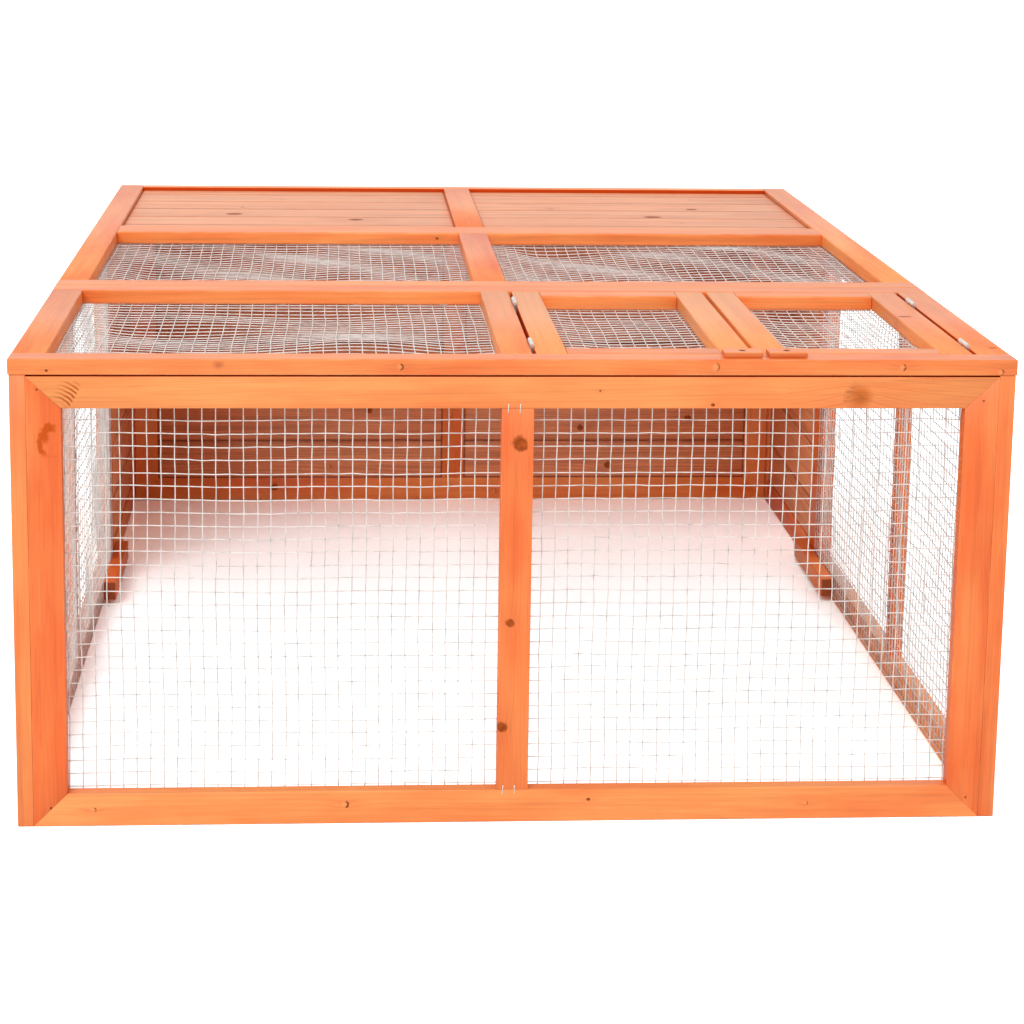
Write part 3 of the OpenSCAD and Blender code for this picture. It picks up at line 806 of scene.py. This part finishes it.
class Timber(Finish):
    """Softwood under a thin stain: the values that its strips carry, and its colour.

    Its functions paint their marks over the colour, one after the other.
    """

    def __init__(self, name):
        super().__init__(name)
        self.grain = self.attribute("grain")
        self.edge, self.tone, self.cut = self.split(self.attribute("finish"))
        self.knot_along, self.knot_across, size_and_kind = self.split(self.attribute("knot"))
        self.radius = self.math("FRACT", size_and_kind)
        self.kind = self.math("FLOOR", size_and_kind)
        self.is_knot = size_and_kind < 0.5
        self.bends_grain = size_and_kind < CURL + 0.5
        self.reach = self.length(self.join(self.knot_along, self.knot_across, 0.0))
        self.wobble = self.patches(170, 170)
        self.small = self.fade(self.radius, 3.8 * MM, 4.2 * MM)
        self.large = self.between(self.radius, 8.9 * MM, 9.3 * MM) * self.is_knot
        self.uneven_reach = (self.wobble - 0.5) * (self.large * -0.4 + 0.8) + self.reach

    def patches(self, along, across, detail=2.0, rough=0.5):
        """Noise with about so many changes a metre along the grain and across it."""
        stretched = self.arrow("MULTIPLY", self.grain, (along, across, across))
        return self.noise(stretched, detail=detail, rough=rough)

    def is_mark(self, kind):
        return self.math("COMPARE", self.kind, kind, 0.1)

    def paint(self, share, colour):
        self.colour = self.blend(share, self.colour, colour)


def growth_rings(wood):
    """How much late wood shows, and how near a knot is, both 0 to about 1.

    The growth rings are shells round the heart of the tree: the ring number is the
    distance from the heart, bent slowly along the strip and pushed out round each knot,
    divided by the width of a ring. A ring darkens with a power of its own share, gently
    towards its late wood, and then breaks off sharply. Some rings are darker than others.
    """
    _, across, deep = wood.split(wood.grain)
    bent_across = wood.patches(1.1, 3, detail=1) * 0.05 + across
    bent_deep = wood.patches(1.95, 5.2, detail=1) * 0.04 + deep
    near = wood.length(wood.join(wood.knot_along * 0.45, wood.knot_across, 0.0))
    push = wood.math("EXPONENT", near * -0.55) * 1.4 * wood.bends_grain * wood.radius
    distance = push + wood.length(wood.join(0.0, bent_across, bent_deep))
    ring = (wood.patches(11, 55, detail=1) * (1.6 * MM) + distance) / RING_WIDTH
    share = wood.math("FRACT", ring)
    number = wood.join(wood.math("FLOOR", ring), 0.0, 0.0)
    strength = wood.between(wood.noise(number, 0.73, detail=0), 0.35, 0.65, 0.35, 1.2)
    late = share**2.2 * wood.fade(share, 0.84, 1.0) * strength
    return late, wood.fade(near, 0.8, 3.4) * wood.bends_grain


def paint_knot(wood):
    """Paints a knot, and returns how much its rim is sunk, and where it is dull.

    A knot has a brown heart with faint rings of its own and a broken dark ring of bark.
    The stain covers the heart of a small knot. The bark of a small knot shows on one side
    only and that of a large one on the other. A tiny knot is a dark dot.
    """
    small, large, reach = wood.small, wood.large, wood.uneven_reach
    inside = wood.fade(reach, large * -0.52 + 0.72, 1.12) * wood.is_knot
    own_rings = wood.math("SINE", reach * 16)
    shade = own_rings * 0.12 + wood.between(wood.wobble, 0.35, 0.7)
    heartwood = wood.blend(shade, HEARTWOOD, DARK_HEARTWOOD)
    heartwood = wood.blend(small, heartwood, STAINED_HEARTWOOD)
    wood.paint(inside * (small * -0.42 + (large * -0.34 + 0.92)), heartwood)

    broken = small * 0.4 + wood.between(wood.patches(90, 260), 0.44, 0.64, 0.1, 0.6)
    lean = small - large
    one_side = wood.knot_along * lean + (1 - abs(lean))
    rim = wood.between(reach, 0.35, 0.8) * wood.fade(reach, 0.96, 1.3) * broken
    rim = rim * wood.between(one_side, -0.15, 0.55) * wood.is_knot
    wood.paint(rim, BARK)

    tiny = wood.fade(wood.radius, 1.5 * MM, 1.8 * MM, 0.85) * wood.is_knot
    tiny = tiny * wood.fade(reach, 0.9, 1.3)
    wood.paint(tiny, PIN_KNOT)
    return rim, wood.largest(rim, tiny, inside * (1 - small))


def paint_fan(wood):
    """Paints a fan of dark arcs, and returns where it is.

    The arcs are stripes by distance, within a range of distances and of places along a
    line 30 degrees from the strip's run.
    """
    stripes = wood.between(wood.math("SINE", wood.wobble * 2 + wood.reach * 16), -0.3, 0.8)
    turned = wood.knot_along * 0.87 - wood.knot_across * 0.5
    in_range = wood.between(wood.uneven_reach, 1.5, 2) * wood.fade(wood.uneven_reach, 3.4, 4.2)
    tips = wood.between(turned, -1.5, 0.5) * wood.fade(turned, 0.72, 0.95)
    arcs = stripes * (in_range * tips) * wood.is_mark(FAN)
    wood.paint(arcs * 0.85, FAN_ARCS)
    return arcs


def paint_smear(wood):
    """Paints the upper left part of a ring with a blot inside it, and returns where it is."""
    arc = wood.fade(abs(wood.uneven_reach - 0.92), 0.1, 0.32)
    arc = arc * wood.fade(wood.knot_across, 0.1, 0.7)
    arc = arc * wood.between(wood.knot_along, -0.85, -0.45)
    from_blot = wood.length(wood.join(wood.knot_across + 0.5, wood.knot_along - 0.38, 0.0))
    stroke = wood.largest(arc, wood.fade(from_blot, 0.15, 0.5)) * wood.is_mark(SMEAR)
    wood.paint(stroke * 0.85, BRUSHED_STAIN)
    return stroke


def paint_edge_wear_highlight_and_shade(wood, in_panel):
    """Paints the edges: those of a strip pale, as wear with a painted highlight, and those of
    boards dark, as stain with painted shade.

    On boards the stain and the painted shade lie in the V grooves, and a painted shadow
    line lies where the panel meets its frame: the distance to the frame is the smaller of
    half the opening less the place from its middle, both ways.
    """
    wear = wood.patches(34, 160, detail=3)
    if in_panel:
        from_middle = wood.arrow("ABSOLUTE", wood.attribute("panel"))
        gap = wood.arrow("SUBTRACT", wood.attribute("panel_half"), from_middle)
        gap_along, gap_across, _ = wood.split(gap)
        # a painted shadow line where the boards meet their frame, and stain with painted shade in
        # the grooves
        line = wood.fade(wood.math("MINIMUM", gap_along, gap_across), 0.8 * MM, 3.2 * MM, 0.9)
        groove = wood.edge * wood.between(wear, 0.25, 0.6, 0.85, 0.5)
        wood.paint(wood.largest(line, groove), GROOVE_STAIN_AND_SHADE)
    else:
        # the strips' eased edges painted pale: wear, and a painted highlight
        wood.paint(wood.edge * wood.between(wear, 0.44, 0.62) * 0.35, WORN_EDGE_AND_HIGHLIGHT)


def timber_finish(name, light, dark, late_wood, contrast, roughness, gloss, coat, in_panel=False):
    """Softwood under a thin orange stain, drawn from the grain, knot and finish values.

    light and dark are the stain where it is thin and thick, and contrast scales every
    light and dark difference of the grain. The shade is a product of three steps, over
    the fibres, the streaks and the pores. Dark marks and slots are dull, because no
    varnish stands on them. The relief is a sum of the rings, the fibres and the pores,
    less the knots' rims.
    """
    wood = Timber(name)
    fibre = wood.patches(9, 520, detail=3, rough=0.6)
    pores = wood.patches(26, 1500, detail=1)
    streak = wood.patches(2.6, 150)
    cloud = wood.patches(6, 26, detail=3, rough=0.55)
    shade = wood.between(fibre, 0.25, 0.75, 1 - 0.085 * contrast, 1 + 0.035 * contrast)
    shade = shade * wood.between(streak, 0.38, 0.72, 1.01, 1 - 0.1 * contrast)
    shade = shade * wood.between(pores, 0.3, 0.46, 1 - 0.12 * contrast, 1.0)

    thin = wood.math("MULTIPLY_ADD", cloud - 0.5, 1.7, wood.tone * 0.3 + 0.5, clamp=True)
    wood.colour = wood.blend(thin, dark, light)
    late, halo = growth_rings(wood)
    wood.paint(late * (halo * 0.2 + 0.27 * contrast), late_wood)
    wood.paint(halo * 0.14, late_wood)
    rim, dull_knot = paint_knot(wood)
    arcs = paint_fan(wood)
    stroke = paint_smear(wood)
    wood.paint(wood.fade(wood.uneven_reach, -0.1, 1, 0.62) * wood.is_mark(SPOT), SOFT_SPOT)
    paint_edge_wear_highlight_and_shade(wood, in_panel)
    # sawn ends darkened by stain; on the turn buttons' sides and in slots this is painted shade
    wood.paint(wood.math("MINIMUM", wood.cut, SAWN) * 0.5, SAWN_END_AND_SHADE)
    # a darker end: partly stain, partly painted shade
    wood.paint(wood.between(wood.cut, SAWN, 2, 0, 0.8), DARK_END_AND_SHADE)
    # the sides in slots and rebates are painted in shade, dark red
    wood.paint(wood.between(wood.cut, 2, SLOT, 0, 0.9), SLOT_SHADE)

    dull = wood.largest(dull_knot, arcs, stroke, wood.between(wood.cut, 2, SLOT))
    glossy = dull * -0.9 + 1
    relief = late * 0.5 + fibre * 0.9 + pores * 0.45 - rim * 0.9
    return wood.set(
        Base_Color=wood.blend(1.0, wood.colour, wood.join(shade, shade, shade), "MULTIPLY"),
        Roughness=fibre * 0.22 + (roughness - 0.11),
        Specular_IOR_Level=glossy * gloss,
        Coat_Weight=glossy * coat,
        Coat_Roughness=0.3,
        Normal=wood.bump(relief, 0.14 * MM, 0.8),
    )


def wire_finish():
    """Galvanised wire: dull white zinc over bright metal, with greyer patches."""
    wire = Finish("galvanised_wire")
    grey = wire.between(wire.noise(wire.place(), 95, detail=3), 0.4, 0.7)
    spangle = wire.noise(wire.place(), 900)
    return wire.set(
        Base_Color=wire.blend(grey, written(234, 228, 223), written(202, 195, 190)),
        Metallic=0.2,
        Roughness=spangle * 0.3 + 0.3,
        Normal=wire.bump(spangle, 0.08 * MM, 0.8),
    )


def steel_finish(name, bright, dull, roughness, flakes):
    """Plated steel: two greys in small flakes, with fine scratches in its roughness."""
    steel = Finish(name)
    place = steel.place()
    cells = steel.lay("ShaderNodeTexVoronoi", {}, {"Vector": place, "Scale": flakes}, "Color")
    flake = steel.split(cells)[0]
    grime = steel.between(steel.noise(place, 230, detail=3), 0.55, 0.75, 0.0, 0.5)
    scratch = steel.noise(steel.arrow("MULTIPLY", place, (400, 400, 3500)))
    colour = steel.blend(flake, bright, dull)
    return steel.set(
        Base_Color=steel.blend(grime, colour, written(96, 90, 82)),
        Metallic=1.0,
        Roughness=flake * 0.1 + (scratch * 0.25 + (roughness - 0.12)),
        Normal=steel.bump(scratch, 0.05 * MM, 0.7),
    )


stained_strip = timber_finish(
    "stained_strip",
    light=written(255, 160, 87),
    dark=written(241, 108, 42),
    late_wood=written(204, 88, 34),
    contrast=0.88,
    roughness=0.52,
    gloss=0.28,
    coat=0.4,
)
stained_board = timber_finish(
    "stained_board",
    light=written(255, 174, 124),
    dark=written(240, 142, 90),
    late_wood=written(190, 94, 54),
    contrast=2.1,
    roughness=0.47,
    gloss=0.5,
    coat=0.12,
    in_panel=True,
)
galvanised_wire = wire_finish()
zinc_hinge = steel_finish(
    "zinc_hinge", written(244, 243, 240), written(218, 217, 214), 0.34, 420
)
screw_steel = steel_finish(
    "screw_steel", written(205, 203, 198), written(168, 166, 160), 0.3, 900
)
# the turn buttons' screws are dark, and darker still as painted shade in their countersinks
dark_and_shaded_screw = steel_finish("dark_and_shaded_screw", written(92, 72, 58), written(62, 48, 40), 0.4, 900)


# Mesh


def wires(shape, start, run, side, lift, length, offsets, sag, wave):
    """Adds a row of parallel wires as six-sided tubes, with a station at every crossing.

    A wire's centre line is start + t*run + offset*side, moved by sag(t, offset) along
    lift and by wave(t, offset) along side. A tube's ring is the centre line plus the
    radius times the cosine along side and the sine along lift.
    """
    t = np.linspace(0, length, int(round(length / WIRE_PITCH)) + 1)[None, :]
    off = offsets[:, None]
    centre = start + t[..., None] * run + (off + wave(t, off))[..., None] * side
    centre = centre + sag(t, off)[..., None] * lift
    angle = np.arange(6) * math.pi / 3
    ring = WIRE_RADIUS * (np.cos(angle)[:, None] * side + np.sin(angle)[:, None] * lift)
    add_tubes(shape, centre[:, :, None] + ring, inward=np.dot(np.cross(side, lift), run) < 0)


def add_net(node, body, slack, hold=None, toward=-1.0, dips=()):
    """Draws a node's plate as welded wire: two rows of wires that cross and touch.

    Between the strips that hold it the net hangs slack: the height of the slack is the
    sum of SLACK_WAVES with random phases, times a window that is 0 at the net's border
    and at each strip across it (hold: axis and places), and 1 in between. Each of
    its dips adds depth times a bell curve. slack and depth are in millimetres, and
    toward is 1 or -1 as they go up or down the axis across the net. Within
    the net's plane single wires wander sideways by a smaller sum of sines, and are bent
    a little at each crossing.
    """
    low, high = np.array(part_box(node))
    size = high - low
    thin = int(np.argmin(size))
    first, second = [axis for axis in range(3) if axis != thin]
    unit = np.eye(3)
    lift = unit[thin] * toward
    phase = chance.random(9) * 2 * math.pi
    reach = chance.uniform(0.6, 1.4, 9)
    holds = {first: [low[first], high[first]], second: [low[second], high[second]]}
    for axis, places in (hold or {}).items():
        holds[axis] += places

    def window(axis, value):
        gap = np.min([np.abs(value - place) for place in holds[axis]], axis=0)
        share = np.clip((gap - NET_BORDER) / NET_EASE, 0, 1)
        return share**2 * (3 - 2 * share)

    def slackness(p, q):
        wave = 0 * p
        for number, (rise, turns_p, turns_q) in enumerate(SLACK_WAVES):
            by_p, by_q = p * turns_p * reach[2 * number], q * turns_q * reach[2 * number + 1]
            wave = wave + rise * np.sin(by_p + by_q + phase[number])
        depth = slack * (0.6 + 0.5 * wave)
        for at_p, at_q, deep, reach_p, reach_q in dips:
            far = ((p / MM - at_p) / reach_p) ** 2 + ((q / MM - at_q) / reach_q) ** 2
            depth = depth + deep * np.exp(-far)
        return depth * MM * window(first, p) * window(second, q)

    shape = Shape()
    for run, side, layer in ((first, second, -1), (second, first, 1)):
        count = int(size[side] / WIRE_PITCH)
        rest = (size[side] - count * WIRE_PITCH) / 2
        offsets = rest + np.arange(count + 1) * WIRE_PITCH
        inset = min(rest, NET_TRIM)
        length = size[run] - 2 * inset
        stations = int(round(length / WIRE_PITCH)) + 1
        jitter = chance.normal(0, 0.25 * MM, (len(offsets), 1))
        jitter = jitter + chance.normal(0, 0.2 * MM, (len(offsets), stations))
        start = (low + high) / 2 + layer * (WIRE_RADIUS - 0.1 * MM) * unit[thin]
        start[run], start[side] = low[run] + inset, low[side]

        def sag(t, off, run=run, side=side):
            p, q = low[run] + t + 0 * off, low[side] + off + 0 * t
            return slackness(p, q) if run == first else slackness(q, p)

        def wave(t, off, jitter=jitter, run=run):
            bend = np.sin(t * 14 + off * 3 + phase[3]) + 0.7 * np.sin(t * 33 + off * 7 + phase[4])
            return (0.6 * MM * bend + jitter) * window(run, low[run] + t + 0 * off)

        wires(shape, start, unit[run], unit[side], lift, length, offsets, sag, wave)
    return shape.piece(node + "_wires", galvanised_wire, body, "mesh_wire", node)


# Metal fittings


def cross_recess(x, y, half_width, half_length):
    """1 inside a cross of two bars and 0 outside it, with soft borders.

    Each bar is a product of two steps, one across it and one along it; the cross is the
    larger of the two bars.
    """

    def inside(value, limit):
        return np.clip((limit - np.abs(value)) / (0.35 * half_width) + 0.5, 0, 1)

    bar = inside(x, half_width) * inside(y, half_length)
    other = inside(y, half_width) * inside(x, half_length)
    return np.maximum(bar, other)


def add_screw(shape, centre, out, radius, length, depth, turn, sides=40):
    """Adds a countersunk cross-head screw, whose flat head faces along out at centre.

    It is a polar grid of (radius, angle): the height is a very low dome, less the
    recess's depth where cross_recess is 1. From the rim the profile goes down the
    cone of the head, along the shank and to its point.
    """
    out = np.asarray(out, float)
    side = np.roll(np.abs(out), 1)
    other = np.cross(out, side)
    angle = np.arange(sides) * 2 * math.pi / sides
    reach = np.linspace(0.06, 0.93, 13)[:, None] * radius
    x, y = reach * np.cos(angle), reach * np.sin(angle)
    ca, sa = math.cos(turn), math.sin(turn)
    mark = cross_recess(x * ca + y * sa, y * ca - x * sa, 0.17 * radius, 0.56 * radius)
    level = 0.03 * radius * (1 - (reach / radius) ** 2) - depth * mark
    rim = np.array([[0.98, -0.02], [1.0, -0.07], [0.5, -0.62], [0.46, -0.9]]) * radius
    shank = np.array([[0.46 * radius, -0.9 * length], [0.06 * radius, -length]])
    below = np.concatenate([rim, shank])
    x = np.concatenate([x, below[:, :1] * np.cos(angle)])
    y = np.concatenate([y, below[:, :1] * np.sin(angle)])
    level = np.concatenate([level, below[:, 1:] + 0 * angle])
    points = centre + x[..., None] * side + y[..., None] * other + level[..., None] * out
    add_tubes(shape, points[None], inward=True)


def add_bent_wires(shape, paths, radius, sides):
    """Adds a tube along each path: rings of a circle square to the path.

    paths is an array (tubes, stations, 3). At a station the direction is the difference
    of its neighbours, and the ring lies in the plane square to it.
    """
    ahead = np.gradient(paths, axis=1)
    ahead /= np.linalg.norm(ahead, axis=2, keepdims=True)
    flat = np.cross(paths[:, 1] - paths[:, 0], paths[:, -1] - paths[:, 0])
    flat /= np.linalg.norm(flat, axis=1, keepdims=True)
    flat = np.repeat(flat[:, None], paths.shape[1], 1)
    third = np.cross(ahead, flat)
    angle = np.arange(sides) * 2 * math.pi / sides
    ring = np.cos(angle)[:, None] * flat[:, :, None] + np.sin(angle)[:, None] * third[:, :, None]
    add_tubes(shape, paths[:, :, None] + radius * ring, inward=True)


def staple_path(centre, run, out, width, leg, corner, steps):
    """The U of a staple: a leg, a quarter turn, the crown, a quarter turn and a leg."""
    quarter = np.linspace(0, math.pi / 2, steps)
    half = width / 2
    along = np.concatenate([[-half], -half + corner * (1 - np.cos(quarter))])
    up = np.concatenate([[-leg], -corner + corner * np.sin(quarter)])
    along = np.concatenate([along, -along[::-1]])
    up = np.concatenate([up, up[::-1]])
    return centre + along[:, None] * run + up[:, None] * out


def add_net_staples(name, thin, face, out, lines):
    """Staples that hold a net to its strips, one about every NET_STAPLE_STEP.

    A line is (axis along the strip, its two ends, place across it), in millimetres. The
    staples stand a little askew. face is where the net's face lies along thin, and out is
    1 or -1 as it looks up or down that axis.
    """
    unit = np.eye(3)
    paths = []
    for run, first, last, across in lines:
        count = max(int(round((last - first) * MM / NET_STAPLE_STEP)), 1)
        along = first + (last - first) * (np.arange(count) + 0.5) / count
        along += chance.normal(0, 6, count)
        for place in along:
            centre = np.zeros(3)
            centre[thin] = face + 0.25 * out * MM
            centre[run] = place * MM
            centre[3 - run - thin] = (across + chance.normal(0, 1.5)) * MM
            askew = chance.normal(0, 0.12)
            direction = unit[run] * math.cos(askew) + unit[3 - run - thin] * math.sin(askew)
            outward = unit[thin] * out
            paths.append(staple_path(centre, direction, outward, 9 * MM, 6 * MM, 0.8 * MM, 2))
    shape = Shape()
    add_bent_wires(shape, np.array(paths), STAPLE_WIRE, 5)
    return shape.piece(name, galvanised_wire, "hutch", "zinc_steel")


def add_turn_button(node):
    """A wooden turn button with a countersunk hole, which is a body of the same name.

    It is a polar grid round the screw. The outline is a superellipse of power 40 with the
    node's length and width, with a ray to each corner. From the hole's foot the rings are
    the hole, the countersink, the flat top, the rounded upper edge, the side, the lower
    edge and the flat underside, which ends at the hole's foot again.
    """
    low, high = np.array(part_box(node))
    centre, half = (low + high) / 2, (high - low) / 2
    corners = math.atan2(half[Y], half[X]) * np.array([1, -1, 1, -1]) + [0, 0, math.pi, math.pi]
    angle = (np.arange(96) + 0.5) * 2 * math.pi / 96
    angle = np.sort(np.concatenate([angle, corners % (2 * math.pi)]))
    sides = len(angle)
    ray = np.stack([np.cos(angle), np.sin(angle)], 1)
    rim = ((np.abs(ray) / half[:2]) ** 40).sum(1) ** (-1 / 40)
    thick, hole, sink, soft = high[Z] - low[Z], 2.1 * MM, 3.55 * MM, 0.5 * MM
    # each ring's reach, its height, how far it lies on an edge, and how far its face is darkened
    # like a sawn end, which on the button's sides is painted shade
    rings = [
        (0 * rim + hole, 0, 0, 0),
        (0 * rim + hole, thick - 1.9 * MM, 0, 0),
        (0 * rim + sink, thick - 0.45 * MM, 0.2, 0),
        (0 * rim + sink + 0.1 * MM, thick - 0.1 * MM, 0.6, 0),
        (0 * rim + sink + 0.5 * MM, thick, 0, 0),
        (rim - soft - 1.5 * MM, thick, 0, 0),
        (rim - soft, thick - 0.02 * MM, 0.3, 0),
        (rim - 0.3 * soft, thick - 0.3 * soft, 1, 0),
        (rim, thick - soft, 0.4, 0.6),
        (rim, thick - soft - 0.4 * MM, 0, 1.2),
        (rim, soft, 0, 0),
        (rim - 0.5 * soft, 0, 0, 0),
    ]
    reach = np.array([ring[0] for ring in rings])
    height, edge, cut_darkening = np.array([ring[1:] for ring in rings]).T
    points = np.empty((len(rings), sides, 3))
    points[..., :2] = centre[:2] + reach[..., None] * ray
    points[..., Z] = low[Z] + height[:, None]
    points = points.reshape(-1, 3)
    edge = np.repeat(edge, sides)
    quads = bands(len(rings) + 1, sides)[:, ::-1] % len(points)
    turn = chance.random() * 2 * math.pi
    heart = np.array([4 * MM, 30 * MM * math.cos(turn), 30 * MM * math.sin(turn)])
    grain = points - centre + heart + [10 * chance.random(), 0, 0]
    far = np.tile([40.0, 40.0, 1 * MM], (quads.size, 1))
    cuts = np.broadcast_to(np.repeat(cut_darkening, sides)[:, None], quads.shape)
    finish = np.stack([edge[quads], np.full(quads.shape, SEEN_TONES[node]), cuts], -1)
    shape = Shape()
    shape.add(
        points,
        [quads],
        (True,),
        grain=grain[quads].reshape(-1, 3),
        knot=far,
        finish=finish.reshape(-1, 3),
    )
    return shape.piece(node + "_wood", stained_strip, node, "stained_wood", node)


def paint_fittings(finish, *nodes):
    """Gives a finish to CAD nodes that are shown as they are."""
    for node in nodes:
        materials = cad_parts[node].data.materials
        materials.clear()
        materials.append(finish)


def add_corner_screws():
    """The screws through the side walls, which stand a little proud of them."""
    shape = Shape()
    for low, high in strips_of("corner_screws"):
        outward = 1 if low[X] > 0 else -1
        spot = centre_of(low, high)
        spot[X] = (high if outward > 0 else low)[X] + outward * 0.25 * MM
        turn = chance.random() * 3
        add_screw(shape, spot, (outward, 0, 0), 3.5 * MM, 30 * MM, 0.3 * MM, turn)
    shape.piece("corner_screw_heads", screw_steel, "hutch", "screw_steel", "corner_screws")


def add_button_screws():
    shape = Shape()
    for low, high in strips_of("turn_button_screws"):
        spot = centre_of(low, high)
        spot[Z] = high[Z]
        turn = chance.random() * 3
        add_screw(shape, spot, (0, 0, 1), 3.45 * MM, high[Z] - low[Z], 1.2 * MM, turn)
    name = "turn_button_screw_heads"
    # painted dark: a dark screw, and painted shade in its countersink
    shape.piece(name, dark_and_shaded_screw, "hutch", "screw_steel", "turn_button_screws")


def add_joint_staples():
    """The staples across the joints of the front centre stile, driven in a little askew."""
    paths = []
    for low, high in strips_of("joint_staples"):
        crown = centre_of(low, high)
        crown[Y] = low[Y] + STAPLE_WIRE
        along, outward = np.array([0.06, 0, 1]), np.array([0, -1, 0])
        paths.append(staple_path(crown, along, outward, 8.6 * MM, 7 * MM, 1.3 * MM, 6))
    shape = Shape()
    add_bent_wires(shape, np.array(paths), STAPLE_WIRE, 8)
    shape.piece("joint_staple_wires", zinc_hinge, "hutch", "zinc_steel", "joint_staples")


# The hutch

for body_name, node_names in WOOD_NODES.items():
    for node_name in node_names:
        add_timber(node_name, stained_strip, "stained_wood", body_name)
for node_name in "left_boards right_boards back_boards roof_boards".split():
    add_timber(node_name, stained_board, "board_wood", "hutch")
add_turn_button("left_turn_button")
add_turn_button("right_turn_button")

centre_stile = centre_of(*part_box("front_centre_stile"))[X]
side_posts = [
    centre_of(*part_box("left_middle_stile"))[Y],
    centre_of(*strips_of("left_run_stiles")[-1])[Y],
]
add_net("front_mesh", "hutch", 2.6, hold={X: [centre_stile]}, toward=1.0)
add_net("left_mesh", "hutch", 2.6, hold={Y: side_posts}, toward=1.0)
add_net("right_mesh", "hutch", 2.6, hold={Y: side_posts}, toward=-1.0)
add_net("roof_front_mesh", "hutch", 2.4, dips=ROOF_DIPS)
add_net("roof_rear_mesh", "hutch", 4.2, hold={X: [centre_stile]})
add_net("left_door_mesh", "left_door", 3.0)
add_net("right_door_mesh", "right_door", 3.0)

# The rows of staples: axis, two ends, and place across it, in millimetres
FRONT_LINES = [
    (X, -430, 430, 17),
    (X, -430, 430, 418),
    (Z, 30, 405, -436),
    (Z, 30, 405, 0),
    (Z, 30, 405, 436),
]
SIDE_LINES = [(Y, -580, 90, 18), (Y, -580, 210, 418), (Z, 30, 405, -590), (Z, 30, 405, -204)]
ROOF_LINES = [
    (X, -440, -10, -587),
    (X, -440, -10, -231),
    (Y, -580, -240, -444),
    (X, -440, 440, -188),
    (X, -440, 440, 186),
    (Y, -180, 190, -444),
    (Y, -180, 190, 0),
    (Y, -180, 190, 444),
]
add_net_staples("front_net_staples", Y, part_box("front_mesh")[1][Y], 1, FRONT_LINES)
add_net_staples("left_net_staples", X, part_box("left_mesh")[1][X], 1, SIDE_LINES)
add_net_staples("right_net_staples", X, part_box("right_mesh")[0][X], -1, SIDE_LINES)
add_net_staples("roof_net_staples", Z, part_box("roof_front_mesh")[0][Z], -1, ROOF_LINES)

paint_fittings(
    zinc_hinge,
    "fixed_hinge_leaves",
    "left_door_hinge_leaves",
    "right_door_hinge_leaves",
    "hinge_pins",
)
paint_fittings(
    screw_steel,
    "stile_hinge_screws",
    "left_door_hinge_screws",
    "right_door_hinge_screws",
)
add_corner_screws()
add_button_screws()
add_joint_staples()


# Floor, light and camera


def lay_floor():
    """A wide round floor, whose colour is brighter than white for the camera alone.

    The points are rings round the middle, each 1.35 times as wide as the one inside it.
    """
    floor = Finish("pale_floor")
    seen = floor.lay("ShaderNodeLightPath", {}, {}, "Is Camera Ray")
    cloudy = floor.noise(floor.place(), 0.6, detail=1)
    tint = floor.blend(cloudy, (0.86, 0.86, 0.86, 1), (0.84, 0.84, 0.84, 1))
    colour = floor.blend(seen, tint, (1.62, 1.86, 1.95, 1))
    floor.set(Base_Color=colour, Roughness=0.9, Specular_IOR_Level=0.0)
    sides, rings = 64, 14
    angle = np.arange(sides) * 2 * math.pi / sides
    reach = 0.8 * 1.35 ** np.arange(rings)
    points = np.zeros((rings, sides, 3))
    points[..., X] = reach[:, None] * np.cos(angle)
    points[..., Y] = reach[:, None] * np.sin(angle)
    points[..., Z] = -0.4 * MM
    mesh = bpy.data.meshes.new("floor")
    quads = bands(rings, sides)[:, ::-1]
    mesh.from_pydata(points.reshape(-1, 3).tolist(), [], quads.tolist() + [list(range(sides))])
    mesh.materials.append(floor.material)
    in_scene("floor", mesh)


def light_room():
    """White surroundings for the camera and for gloss, a softer white for the light."""
    world = bpy.data.worlds.new("studio")
    bpy.context.scene.world = world
    world.use_nodes = True
    room = Nodes(world.node_tree)
    room.nodes.clear()
    white_rays = [
        room.lay("ShaderNodeLightPath", {}, {}, f"Is {kind} Ray")
        for kind in ("Camera", "Glossy", "Transmission")
    ]
    soft, white = [
        room.lay("ShaderNodeBackground", {}, {"Color": (1, 1, 1, 1), "Strength": strength})
        for strength in (0.82, 1.0)
    ]
    mix = room.lay("ShaderNodeMixShader", {}, {0: room.largest(*white_rays), 1: soft, 2: white})
    room.put(room.nodes.new("ShaderNodeOutputWorld").inputs["Surface"], mix)


def hang_lamp(name, strength, softness, tilt, turn):
    """A sun lamp: tilt degrees from overhead, and turn degrees round from the back."""
    lamp = bpy.data.lights.new(name, "SUN")
    lamp.energy = strength
    lamp.angle = math.radians(softness)
    in_scene(name, lamp).rotation_euler = (math.radians(tilt), 0, math.radians(turn))


def set_camera():
    """The photograph's view, from VIEWPOINT and VIEW_TURN.

    The forward direction comes from yaw and pitch; the camera's own right is forward
    crossed with up, turned by the roll about the forward direction.
    """
    yaw, pitch, roll = (math.radians(value) for value in VIEW_TURN)
    forward = np.array(
        [math.sin(yaw) * math.cos(pitch), math.cos(yaw) * math.cos(pitch), -math.sin(pitch)]
    )
    right = np.cross(forward, [0, 0, 1])
    right /= np.linalg.norm(right)
    up = np.cross(right, forward)
    across = right * math.cos(roll) + up * math.sin(roll)
    upward = -right * math.sin(roll) + up * math.cos(roll)
    camera = bpy.data.cameras.new("photograph")
    camera.sensor_width = 36
    camera.lens = 86.45
    camera.shift_x = 0.02
    camera.shift_y = -0.20
    turn = np.eye(4)
    turn[:3, 0], turn[:3, 1], turn[:3, 2] = across, upward, -forward
    turn[:3, 3] = VIEWPOINT
    viewer = in_scene("photograph", camera)
    viewer.matrix_world = Matrix(turn.tolist())
    bpy.context.scene.camera = viewer


lay_floor()
light_room()
hang_lamp("key_lamp", 1.45, 35, 46, -24)
set_camera()
bpy.context.scene.view_settings.view_transform = "Standard"
